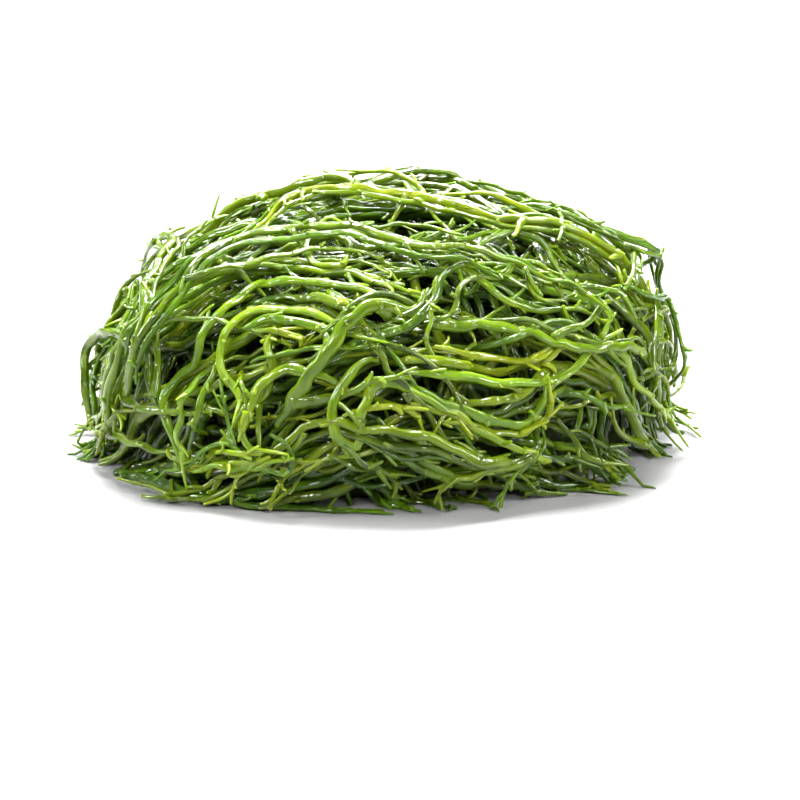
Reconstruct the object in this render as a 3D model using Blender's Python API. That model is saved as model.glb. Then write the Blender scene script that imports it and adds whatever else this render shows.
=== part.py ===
"""A heap of wet gracilaria, a seaweed whose thin round axes fork and carry tapering spurs.

The heap stands on a table, with Z up and the origin under its middle. Its middle is one packed tangle.
Loose thalli are draped over it, combed from left (-X) to right (+X), each one lying clear on top of
those laid before it, as they would after being lifted out and set down in one portion.
"""

import math
import random
from dataclasses import dataclass, field

import bmesh
import bpy
import numpy as np

MM = 0.001
SEED = 41
GOLDEN_ANGLE = math.pi * (3 - math.sqrt(5))

# The mound: the packed heart of the heap, and the hollow foot in which the loose thalli run out
HEART_HALF_WIDTH = 73 * MM
HEART_HALF_DEPTH = 58 * MM
HEART_HEIGHT = 60 * MM
HEART_FULLNESS = 2.6  # exponent of the superellipse in which it is rounded: 2 is an ellipse
FULLNESS = 2.4  # the same for the surface that the thalli are laid on, which turns out at its foot
FOOT_RADIUS = 12 * MM
TABLE_REACH = 1 * MM  # how far thalli run on past the foot, over the table
PROFILE_POINTS = 90  # in each of the mound's two curves
LEAN = 0.09  # the right shoulder stands this share higher, and the left as much lower
HUMP = 0.02  # share of the height in the small humps, and how broad they are
HUMP_WIDTH = 17 * MM
HUMP_DEPTH = 23 * MM
LUMP = 0.035  # share of the reach in the broad swells round the flank, their number and their turn
LUMPS = 3
LUMP_TURN = 0.9

# The thalli: radii, lengths and angles, with (least, most) where each one draws its own
LOOSE_THALLI = 33
THALLUS_LENGTH = (105 * MM, 150 * MM)
STEP = 7.0 * MM  # between the bends of an axis
AXIS_RADIUS = 1.45 * MM
AXIS_GIRTH = (0.85, 1.12)  # share of that radius
AXIS_TIP_SHARE = 0.42
TAPER_POWER = 1.4  # over 1, more of the taper is near the tip
TIP_RADIUS = 0.32 * MM
JOINT_GAP = 2  # bends from one side branch to the next
BRANCH_REGION = 0.75  # share of an axis, from its thick end, that carries long branches
BRANCH_CYCLE = 5  # bends in which the first BRANCH_RUN can carry a long branch, and the others a spur
BRANCH_RUN = 2
BRANCH_SHARE = 0.78  # of its parent's radius
BRANCH_LENGTH = (24 * MM, 48 * MM)
BRANCH_ANGLE = (0.4, 0.75)
SPUR_SHARE = 0.62
SPUR_ANGLE = (0.6, 1.0)
FORK_RUN = 30 * MM  # length in which a branch turns back to its parent's way
CLEARANCE = 0.62 * MM  # between one thallus and what lies under it
TRIES = 7  # ways tried for each thallus, of which the one that lies lowest is kept
STRAY = 9 * MM  # how far a try may move its middle
LOOSE_REGION = 1.05  # share of the mound's surface over which their middles are spread
LENGTH_WORTH = 0.14 * MM  # of height, that one more bend makes up for when tries are compared
ARCHED = 3  # thalli of the last ones laid that stand up in an arch
ARCH_HEIGHT = 4.0 * MM
ARCH_BENDS = 6  # that an arch is long

# How their ways wave about the combed way
HEADING_SPREAD = 0.24  # radians, of most thalli
CROSSING_SHARE = 0.2  # of them lie across the others, at up to this angle
CROSSING_ANGLE = 1.2
SWING = (0.16, 0.42)
SIDE_SWING = 0.22
LONG_WAVE = (55 * MM, 90 * MM)
SHORT_WAVE = (26 * MM, 40 * MM)
SHORT_WAVE_SHARE = 0.55

# The combed way: left to right, up one flank and down the other, swaying in two broad waves
COMB_DROOP = 0.85
COMB_SWAY = 0.30
COMB_START = 1.0  # phase of that sway
COMB_WAVE_X = 21 * MM
COMB_WAVE_Z = 16 * MM
CROSS_SWAY = 0.22
CROSS_WAVE_Y = 15 * MM
CROSS_WAVE_X = 34 * MM
SWAY_LIFT = 0.25

# The packed tangle: ridges for the strands that show in it, and strands that stand out of it
RIDGES = 36
RIDGE_HEIGHT = 1.9 * MM
RIDGE_SWAY = 0.9  # sideways, in ridge widths
SWAY_WAVE = 7.0  # radians of that sway in half the heart's length
SWAY_SHIFT = 5.0  # most radians by which one ridge's sway is ahead of another's
SWAY_STEP = 0.4  # radians from one ridge to the next, of the wave in which it gets ahead
RIDGE_FADE = 0.06  # share of a section, from the table up, in which its ridges fade in
END_FADE = 0.24  # share of the heart's half length, from its ends, in which they do
RIM = 0.999  # past this share a point is on the heart's very end, or on the table
STATIONS = 21  # sections from the left end to the right
HALVINGS = 24  # with which a point on the heart's surface is found
HEART_STRANDS = 12
HEART_STRAND_LENGTH = (62 * MM, 90 * MM)
HEART_STRAND_RADIUS = 1.6 * MM
HEART_STRAND_GIRTH = (0.85, 1.1)
HEART_REGION = 0.85  # share of the mound's surface over which they are spread
HEART_LIMIT = 0.9  # share of the way down the flank that they keep to
ROOT_DEPTH = 4.5 * MM  # how deep a heart strand's two ends sink in

# The map that the thalli are stacked on
CELL = 0.6 * MM
MAP_LEVEL = 4 * MM  # height over the mound at which distances are measured
MAP_MARGIN = 8  # cells round its edge
MAP_SQUEEZE = 1.75  # most cells that a cell's width covers where the surface turns
SAMPLES = 8  # along each step, where heights are tested
SMOOTHINGS = 2
NUDGE = 0.4 * MM  # over which the mound's slope is taken
WELD = 0.01 * MM  # between a tube's caps and its sides
HEART_WELD = 0.05 * MM  # between the heart's points that fall together at its two ends


class Mound:
    """The smooth surface that everything is laid on, addressed by polar map coordinates (u, v).

    The map radius is the length of the way down from the crown: over the shoulder, down the flank,
    through the hollow foot and out on the table.
    """

    def __init__(self):
        turn = np.linspace(0, math.pi / 2, PROFILE_POINTS)
        crown_x = HEART_HALF_WIDTH * np.sin(turn) ** (2 / FULLNESS)
        crown_z = FOOT_RADIUS + (HEART_HEIGHT - FOOT_RADIUS) * np.cos(turn) ** (2 / FULLNESS)
        foot_x = HEART_HALF_WIDTH + FOOT_RADIUS * (1 - np.cos(turn[1:]))
        foot_z = FOOT_RADIUS * (1 - np.sin(turn[1:]))
        end_x = 2 * (HEART_HALF_WIDTH + FOOT_RADIUS)
        self.x = np.concatenate([crown_x, foot_x, [end_x]])
        self.z = np.concatenate([crown_z, foot_z, [0.0]])
        self.way = np.concatenate([[0], np.cumsum(np.hypot(np.diff(self.x), np.diff(self.z)))])
        self.flank_end = self.way[len(turn) - 1]
        self.limit = self.way[-2] + TABLE_REACH
        self.area = np.concatenate([[0], np.cumsum(self.x[:-1] * np.diff(self.way))])

    def point(self, u, v):
        """The surface point over map position (u, v), which may be arrays."""
        turn = np.arctan2(v, u)
        way = np.hypot(u, v)
        radius = np.interp(way, self.way, self.x) * self.plan(turn)
        x, y = radius * np.cos(turn), radius * np.sin(turn)
        return np.stack([x, y, np.interp(way, self.way, self.z) * self.rise(x, y)], axis=-1)

    def plan(self, turn):
        """The heap's reach towards a compass turn, as a share of its reach to the right."""
        depth = HEART_HALF_DEPTH / HEART_HALF_WIDTH
        oval = (np.cos(turn) ** 2 + (np.sin(turn) / depth) ** 2) ** -0.5
        return oval * (1 + LUMP * np.sin(LUMPS * turn + LUMP_TURN))

    def rise(self, x, y):
        """The share by which the heap is higher at (x, y) than an even mound."""
        return 1 + LEAN * x / HEART_HALF_WIDTH + HUMP * np.sin(x / HUMP_WIDTH + y / HUMP_DEPTH)

    def heart_height(self, x, y):
        """How high the packed heart stands over a spot of the table: its flank runs down to the table."""
        share = math.hypot(x, y) / self.plan(math.atan2(y, x)) / HEART_HALF_WIDTH
        dome = max(0.0, 1 - share**HEART_FULLNESS) ** (1 / HEART_FULLNESS)
        return dome * HEART_HEIGHT * self.rise(x, y)

    def frame(self, u, v):
        """(point, its change along u, its change along v, outward normal)."""
        here = self.point(u, v)
        along_u = (self.point(u + NUDGE, v) - self.point(u - NUDGE, v)) / (2 * NUDGE)
        along_v = (self.point(u, v + NUDGE) - self.point(u, v - NUDGE)) / (2 * NUDGE)
        normal = np.cross(along_u, along_v)
        return here, along_u, along_v, normal / np.linalg.norm(normal, axis=-1, keepdims=True)

    def spread(self, index, count, share):
        """The index-th of count map positions spread evenly over the top share of the surface."""
        region = np.interp(self.flank_end, self.way, self.area) * share
        way = np.interp((index + 0.5) / count * region, self.area, self.way)
        return np.array([way * math.cos(index * GOLDEN_ANGLE), way * math.sin(index * GOLDEN_ANGLE)])


@dataclass
class Axis:
    """One round stem: its bends on the map, their radii and their heights over the mound."""

    bends: np.ndarray
    radii: np.ndarray
    joint: int = -1  # the bend of the main axis that it grows from
    heights: np.ndarray = field(default=None)
    needed: np.ndarray = field(default=None)


class Pile:
    """How high the things already laid reach over each spot of the mound."""

    def __init__(self, mound):
        self.mound = mound
        self.half = int(mound.limit / CELL) + MAP_MARGIN
        ticks = (np.arange(2 * self.half + 1) - self.half) * CELL
        u, v = np.meshgrid(ticks, ticks, indexing="ij")
        place, _, _, normal = mound.frame(u, v)
        self.place = place + normal * MAP_LEVEL
        self.top = np.zeros(u.shape)

    def window(self, samples, radius):
        """(map rows, map columns, square of the circle's height there) round each sample."""
        reach = int(radius / CELL * MAP_SQUEEZE) + 2
        near = np.arange(-reach, reach + 1)
        middle = np.rint(samples / CELL).astype(int) + self.half
        last = self.top.shape[0] - 1
        rows = np.clip(middle[:, 0, None, None] + near[None, :, None], 0, last)
        columns = np.clip(middle[:, 1, None, None] + near[None, None, :], 0, last)
        rows, columns = np.broadcast_arrays(rows, columns)
        here, _, _, normal = self.mound.frame(samples[:, 0], samples[:, 1])
        centre = (here + normal * MAP_LEVEL)[:, None, None, :]
        square = ((self.place[rows, columns] - centre) ** 2).sum(axis=-1)
        return rows, columns, radius**2 - square

    def needed(self, samples, radius):
        """The least height at which a round stem's middle clears what lies under each sample."""
        rows, columns, arch = self.window(samples, radius + CLEARANCE)
        rest = self.top[rows, columns] + np.sqrt(np.maximum(arch, 0))
        return np.where(arch > 0, rest, 0).max(axis=(1, 2))

    def lay(self, samples, heights, radius):
        """Adds a round stem that runs through the samples at these heights."""
        rows, columns, arch = self.window(samples, radius)
        reach = heights[:, None, None] + np.sqrt(np.maximum(arch, 0))
        inside = arch > 0
        np.maximum.at(self.top, (rows[inside], columns[inside]), reach[inside])


def between(values, per_step):
    """values with per_step samples in each gap, straight between them."""
    last = len(values) - 1
    at = np.linspace(0, last, last * per_step + 1)
    low = np.minimum(at.astype(int), last - 1)
    share = at - low
    if values.ndim > 1:
        share = share[:, None]
    return values[low] * (1 - share) + values[low + 1] * share


def comb(place):
    """The way in which the heap is combed at a place."""
    x, y, z = place
    sway = COMB_SWAY * math.sin(x / COMB_WAVE_X + z / COMB_WAVE_Z + COMB_START)
    sway += CROSS_SWAY * math.sin(y / CROSS_WAVE_Y - x / CROSS_WAVE_X)
    lift = SWAY_LIFT * math.sin(sway) - COMB_DROOP * x / HEART_HALF_WIDTH
    return np.array([math.cos(sway), math.sin(sway), lift])


def turned(direction, normal, angle):
    """A direction, laid flat on the surface and turned by an angle round its normal."""
    flat = direction - normal * direction.dot(normal)
    flat = flat / np.linalg.norm(flat)
    return flat * math.cos(angle) + np.cross(normal, flat) * math.sin(angle)


def walk(mound, start, sign, aim, count, limit):
    """The bends of a stem from start, aim(length so far) being its angle to the combed way."""
    bends = [np.array(start)]
    for step in range(count):
        u, v = bends[-1]
        place, along_u, along_v, normal = mound.frame(u, v)
        move = turned(comb(place) * sign, normal, aim(step * STEP)) * STEP
        cross = along_u.dot(along_v)
        grid = np.array([[along_u.dot(along_u), cross], [cross, along_v.dot(along_v)]])
        after = bends[-1] + np.linalg.solve(grid, np.array([move.dot(along_u), move.dot(along_v)]))
        if np.hypot(*after) > limit:
            break
        bends.append(after)
    return bends


def wander(draw, swing):
    """A slow random swing of a stem's heading along its length, as a function of that length."""
    long_wave, short_wave = draw.uniform(*LONG_WAVE), draw.uniform(*SHORT_WAVE)
    long_start, short_start = draw.uniform(0, math.tau), draw.uniform(0, math.tau)

    def heading(way):
        slow = math.sin(way / long_wave * math.tau + long_start)
        quick = math.sin(way / short_wave * math.tau + short_start)
        return swing * (slow + SHORT_WAVE_SHARE * quick)

    return heading


def tapered(count, first, last):
    """Radii from first to last, with more of the taper near the end."""
    return first + (last - first) * np.linspace(0, 1, count) ** TAPER_POWER


def main_axis(mound, middle, draw, length, radius, limit):
    """(a stem that runs both ways from its middle, the sign it runs with, its heading at a bend)."""
    crossing = draw.random() < CROSSING_SHARE
    spread = draw.uniform(-CROSSING_ANGLE, CROSSING_ANGLE) if crossing else draw.gauss(0, HEADING_SPREAD)
    swing = wander(draw, draw.uniform(*SWING))
    half = int(length / 2 / STEP)
    forward = walk(mound, middle, 1, lambda way: spread + swing(way), half, limit)
    backward = walk(mound, middle, -1, lambda way: spread + swing(-way), half, limit)
    bends = backward[:0:-1] + forward
    sign, first = 1, len(backward) - 1
    if draw.random() < 0.5:
        bends.reverse()
        sign, first = -1, len(forward) - 1
    radii = tapered(len(bends), radius, radius * AXIS_TIP_SHARE)
    radii[-1] = TIP_RADIUS
    return Axis(np.array(bends), radii), sign, lambda bend: spread + swing(sign * (bend - first) * STEP)


def side_axis(mound, parent, joint, sign, start, draw, turn, length, share):
    """A stem that leaves its parent at a bend, turns off by an angle and then runs along with it."""
    swing = wander(draw, SIDE_SWING)

    def aim(way):
        return start + turn * math.exp(-way / FORK_RUN) + swing(way) - swing(0)

    bends = walk(mound, parent.bends[joint], sign, aim, max(1, round(length / STEP)), mound.limit)
    return Axis(np.array(bends), tapered(len(bends), parent.radii[joint] * share, TIP_RADIUS), joint)


def grow(mound, draw, middle):
    """The axes of one thallus: a main axis, long branches and short spurs, on alternate sides."""
    length, radius = draw.uniform(*THALLUS_LENGTH), AXIS_RADIUS * draw.uniform(*AXIS_GIRTH)
    main, sign, heading = main_axis(mound, middle, draw, length, radius, mound.limit)
    axes = [main]
    last = len(main.bends) - 2
    side = draw.choice([-1, 1])
    for joint in range(1 + draw.randrange(JOINT_GAP), last, JOINT_GAP):
        if joint % BRANCH_CYCLE < BRANCH_RUN and joint < BRANCH_REGION * last:
            length, share, turn = draw.uniform(*BRANCH_LENGTH), BRANCH_SHARE, draw.uniform(*BRANCH_ANGLE)
        else:
            length, share, turn = STEP, SPUR_SHARE, draw.uniform(*SPUR_ANGLE)
        axis = side_axis(mound, main, joint, sign, heading(joint), draw, side * turn, length, share)
        if len(axis.bends) > 1:
            axes.append(axis)
            side = -side
    return axes


def heart_strand(mound, draw, middle):
    """A stem of the packed tangle, which comes up out of it, lies on it and goes back in."""
    length, limit = draw.uniform(*HEART_STRAND_LENGTH), HEART_LIMIT * mound.flank_end
    axis, _, _ = main_axis(mound, middle, draw, length, HEART_STRAND_RADIUS, limit)
    axis.radii[:] = HEART_STRAND_RADIUS * draw.uniform(*HEART_STRAND_GIRTH)
    return [axis]


def weigh(pile, axes):
    """Finds the least height of each bend of a thallus, and returns how high it would lie on average."""
    for axis in axes:
        asked = pile.needed(between(axis.bends, SAMPLES), axis.radii.max())
        steps = [asked[k * SAMPLES : (k + 1) * SAMPLES + 1].max() for k in range(len(axis.bends) - 1)]
        steps = np.array([steps[0], *steps, steps[-1]])
        axis.needed = np.maximum(steps[:-1], steps[1:])
    for axis in axes[1:]:
        axes[0].needed[axis.joint] = max(axes[0].needed[axis.joint], axis.needed[0])
    return np.concatenate([axis.needed for axis in axes]).mean()


def raise_arch(axis):
    """Lifts the middle bends of a main axis in an arch."""
    first = max(1, (len(axis.bends) - ARCH_BENDS) // 2)
    for bend in range(first, min(first + ARCH_BENDS, len(axis.bends) - 1)):
        axis.needed[bend] += ARCH_HEIGHT * math.sin((bend - first + 0.5) / ARCH_BENDS * math.pi)


def settle(pile, axes):
    """Sets the heights of a weighed thallus's axes, with no sharp dips, and adds it to the pile."""
    for axis in axes:
        axis.heights = axis.needed.copy()
        for _ in range(SMOOTHINGS):
            middle = (axis.heights[:-2] + axis.heights[2:]) / 2
            axis.heights[1:-1] = np.maximum(axis.heights[1:-1], middle)
    for axis in axes[1:]:
        axis.heights[0] = axes[0].heights[axis.joint]
    for axis in axes:
        pile.lay(between(axis.bends, SAMPLES), between(axis.heights, SAMPLES), axis.radii.max())


def placed(pile, make, index, count, share, arched=False):
    """The lowest-lying of a few tries at one thallus or strand, laid on the pile."""
    least, best = math.inf, None
    for attempt in range(TRIES):
        draw = random.Random(f"{SEED} {make.__name__} {index} {attempt}")
        stray = np.array([draw.uniform(-STRAY, STRAY), draw.uniform(-STRAY, STRAY)])
        axes = make(pile.mound, draw, pile.mound.spread(index, count, share) + stray)
        if min(len(axis.bends) for axis in axes) > 1:
            height = weigh(pile, axes) - LENGTH_WORTH * len(axes[0].bends)
            if height < least:
                least, best = height, axes
    if arched:
        raise_arch(best[0])
    settle(pile, best)
    return best


def laid_out(mound):
    """(the heart's strands, each loose thallus's axes), laid in order from the heart outwards."""
    pile = Pile(mound)
    heart = []
    for index in range(HEART_STRANDS):
        strand = placed(pile, heart_strand, index, HEART_STRANDS, HEART_REGION)[0]
        strand.heights[0] = strand.heights[-1] = -ROOT_DEPTH
        heart.append(strand)
    order = list(range(LOOSE_THALLI))
    random.Random(SEED).shuffle(order)
    loose = []
    for turn, index in enumerate(order):
        arched = turn >= LOOSE_THALLI - ARCHED
        loose.append(placed(pile, grow, index, LOOSE_THALLI, LOOSE_REGION, arched))
    return heart, loose


def path_of(mound, axis):
    """The bends of an axis as points in space."""
    place, _, _, normal = mound.frame(axis.bends[:, 0], axis.bends[:, 1])
    return place + normal * axis.heights[:, None]


def middle_of(mound, axes):
    """The middle, on the table, of the box round these axes."""
    points = np.concatenate([path_of(mound, axis) for axis in axes])
    centre = (points.min(axis=0) + points.max(axis=0)) / 2
    return np.array([centre[0], centre[1], 0])


def finish(name, colour, roughness):
    """A plain wet green for one kind of thallus."""
    material = bpy.data.materials.new(name)
    material.use_nodes = True
    shader = material.node_tree.nodes["Principled BSDF"]
    shader.inputs["Base Color"].default_value = (*colour, 1)
    shader.inputs["Roughness"].default_value = roughness
    shader.inputs["Metallic"].default_value = 0
    return material


def weld(mesh):
    """Joins a tube's caps to its sides, and turns all its faces out."""
    work = bmesh.new()
    work.from_mesh(mesh)
    bmesh.ops.remove_doubles(work, verts=work.verts, dist=WELD)
    bmesh.ops.recalc_face_normals(work, faces=work.faces)
    work.to_mesh(mesh)
    work.free()


def stem(points, radii):
    """A closed four-sided mesh tube through the points, made as a bevelled curve with filled caps."""
    curve = bpy.data.curves.new("stem", "CURVE")
    curve.dimensions = "3D"
    curve.bevel_depth = 1.0
    curve.bevel_resolution = 0
    curve.use_fill_caps = True
    spline = curve.splines.new("POLY")
    spline.points.add(len(points) - 1)
    for bend, point, radius in zip(spline.points, points, radii):
        bend.co = (*point, 1)
        bend.radius = radius
    guide = bpy.data.objects.new("stem_line", curve)
    bpy.context.scene.collection.objects.link(guide)
    bpy.context.view_layer.update()
    mesh = bpy.data.meshes.new_from_object(guide.evaluated_get(bpy.context.evaluated_depsgraph_get()))
    tube = bpy.data.objects.new("stem", mesh)
    tube.matrix_world = guide.matrix_world
    bpy.data.objects.remove(guide)
    weld(mesh)
    return tube


def fuse(body, others):
    """Joins all the others to body by one Boolean union, with the solver that leaves no scraps."""
    repeats = bpy.data.collections.new(body.name + "_repeats")
    bpy.context.scene.collection.children.link(repeats)
    for other in others:
        repeats.objects.link(other)
    union = body.modifiers.new("union", "BOOLEAN")
    union.operation = "UNION"
    union.operand_type = "COLLECTION"
    union.collection = repeats
    union.solver = "MANIFOLD"
    bpy.context.view_layer.update()
    mesh = bpy.data.meshes.new_from_object(body.evaluated_get(bpy.context.evaluated_depsgraph_get()))
    body.modifiers.clear()
    body.data = mesh
    for other in others:
        bpy.data.objects.remove(other)
    bpy.data.collections.remove(repeats)


def section_reach(mound, x, tilt):
    """How far the heart's surface is from the X axis at x, at a tilt up from the table in front."""
    low, high = 0.0, HEART_HALF_WIDTH
    for _ in range(HALVINGS):
        reach = (low + high) / 2
        if reach * math.sin(tilt) < mound.heart_height(x, -reach * math.cos(tilt)):
            low = reach
        else:
            high = reach
    return low


def heart_point(mound, along, across):
    """The point of the ridged heart for a share along it (-1 to 1) and over it, from front to back."""
    x = math.sin(along * math.pi / 2) * HEART_HALF_WIDTH * mound.plan(0 if along > 0 else math.pi)
    at_end, at_table = abs(along) > RIM, abs(across) > RIM
    ridge = round((across + 1) * RIDGES)
    relief = min(1, (1 - abs(across)) / RIDGE_FADE, (1 - abs(along)) / END_FADE)
    sway = RIDGE_SWAY / RIDGES * math.sin(SWAY_WAVE * along + SWAY_SHIFT * math.sin(SWAY_STEP * ridge))
    tilt = (across + sway * relief + 1) * math.pi / 2
    reach = 0 if at_end else section_reach(mound, x, tilt)
    if ridge % 2 and reach > RIDGE_HEIGHT:
        reach -= RIDGE_HEIGHT * relief
    return np.array([x, -reach * math.cos(tilt), 0 if at_table else reach * math.sin(tilt)])


def heart_body(mound, centre):
    """The packed middle of the heap: a ridge for each strand that shows in it, flat on the table."""
    work = bmesh.new()
    bmesh.ops.create_grid(work, x_segments=STATIONS, y_segments=2 * RIDGES, size=1)
    for vertex in work.verts:
        vertex.co = heart_point(mound, vertex.co.x, vertex.co.y) - centre
    bmesh.ops.remove_doubles(work, verts=work.verts, dist=HEART_WELD)
    rim = [edge for edge in work.edges if edge.is_boundary]
    bmesh.ops.contextual_create(work, geom=rim)
    bmesh.ops.recalc_face_normals(work, faces=work.faces)
    mesh = bpy.data.meshes.new("tangle")
    work.to_mesh(mesh)
    work.free()
    return bpy.data.objects.new("tangle", mesh)


def show(piece, name, others, material, heap):
    """Puts a piece in the heap's collection, with the others joined to it, in its own material."""
    piece.name = name
    heap.objects.link(piece)
    if others:
        fuse(piece, others)
    piece.data.name = name
    piece.data.materials.clear()
    piece.data.materials.append(material)


def main():
    """Builds the packed tangle and the loose thalli."""
    for obj in list(bpy.data.objects):
        bpy.data.objects.remove(obj)
    mound = Mound()
    heart, loose = laid_out(mound)
    centre = middle_of(mound, heart + [axis for axes in loose for axis in axes])
    heap = bpy.data.collections.new("gracilaria_heap")
    bpy.context.scene.collection.children.link(heap)
    packed = finish("packed_tangle", (0.035, 0.085, 0.018), 0.3)
    greens = [
        finish("bright_frond", (0.165, 0.285, 0.035), 0.22),
        finish("green_frond", (0.085, 0.205, 0.030), 0.24),
        finish("deep_frond", (0.045, 0.130, 0.022), 0.26),
    ]
    strands = [stem(path_of(mound, axis) - centre, axis.radii) for axis in heart]
    show(heart_body(mound, centre), "tangle", strands, packed, heap)
    for number, axes in enumerate(loose, 1):
        stems = [stem(path_of(mound, axis) - centre, axis.radii) for axis in axes]
        show(stems[0], f"thallus_{number:02d}", stems[1:], greens[number % len(greens)], heap)


main()
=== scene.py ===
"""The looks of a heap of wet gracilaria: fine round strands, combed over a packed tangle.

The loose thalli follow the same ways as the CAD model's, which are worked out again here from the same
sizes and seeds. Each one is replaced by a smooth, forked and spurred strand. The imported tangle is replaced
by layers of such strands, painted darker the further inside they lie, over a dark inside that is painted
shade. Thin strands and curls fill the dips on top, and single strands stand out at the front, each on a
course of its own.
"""

import logging
import math
import random
from dataclasses import dataclass, field
from enum import Enum
from typing import Callable, Iterable, Iterator, Optional

import bpy
import numpy as np
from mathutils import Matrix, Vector

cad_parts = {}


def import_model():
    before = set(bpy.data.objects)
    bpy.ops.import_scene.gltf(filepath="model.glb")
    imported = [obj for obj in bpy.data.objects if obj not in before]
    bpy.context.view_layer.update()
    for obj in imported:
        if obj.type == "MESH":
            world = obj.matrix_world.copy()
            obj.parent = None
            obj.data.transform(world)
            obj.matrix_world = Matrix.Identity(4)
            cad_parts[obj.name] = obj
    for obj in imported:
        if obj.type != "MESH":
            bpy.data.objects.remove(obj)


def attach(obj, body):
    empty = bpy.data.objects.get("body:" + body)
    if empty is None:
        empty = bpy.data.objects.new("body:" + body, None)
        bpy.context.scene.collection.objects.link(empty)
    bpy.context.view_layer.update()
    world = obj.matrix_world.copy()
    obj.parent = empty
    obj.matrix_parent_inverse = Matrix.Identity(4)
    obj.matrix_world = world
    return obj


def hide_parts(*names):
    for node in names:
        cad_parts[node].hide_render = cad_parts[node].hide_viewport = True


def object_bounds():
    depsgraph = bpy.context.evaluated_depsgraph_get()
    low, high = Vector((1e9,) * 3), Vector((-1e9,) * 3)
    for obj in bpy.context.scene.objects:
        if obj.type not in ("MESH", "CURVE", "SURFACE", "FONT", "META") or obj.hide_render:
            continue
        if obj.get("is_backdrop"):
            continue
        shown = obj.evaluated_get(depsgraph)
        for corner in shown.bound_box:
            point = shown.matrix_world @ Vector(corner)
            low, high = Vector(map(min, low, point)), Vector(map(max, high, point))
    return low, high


log = logging.getLogger("gracilaria")

MM = 0.001
SEED = 41
GOLDEN_ANGLE = math.pi * (3 - math.sqrt(5))
SPUR_RINGS = 6
NO_LENGTH = 1e-12
Range = tuple[float, float]
Place = tuple[float, float, float]
Socket = bpy.types.NodeSocket
Inputs = dict[str | int, object]


class Slot(Enum):
    """The record's material slots."""

    BRIGHT = "bright_frond"
    GREEN = "green_frond"
    DEEP = "deep_frond"
    PACKED = "packed_tangle"


@dataclass(frozen=True)
class Viewpoint:
    """Where the heap is looked at from: the photo's angle, and a distance that suits it."""

    aim: Place = (2.7 * MM, 0.0, 12.4 * MM)
    elevation: float = math.radians(16)
    distance: float = 0.95

    def place(self) -> np.ndarray:
        """The place that it is looked at from."""
        back = self.distance * math.cos(self.elevation)
        return np.array(self.aim) + np.array([0, -back, self.distance * math.sin(self.elevation)])

    def seen(self, points: np.ndarray) -> np.ndarray:
        """Where points are seen from the viewpoint.

        Args:
            points: places in space, one to a row.

        Returns:
            How far right of the aim and how far over it each is seen, as measured at the aim.
        """
        toward = (np.array(self.aim) - self.place()) / self.distance
        right = np.array([1.0, 0.0, 0.0])
        up = np.cross(right, toward)
        away = points - np.array(self.aim)
        depth = self.distance + away @ toward
        return np.stack([away @ right, away @ up], axis=-1) * (self.distance / depth)[:, None]


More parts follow.
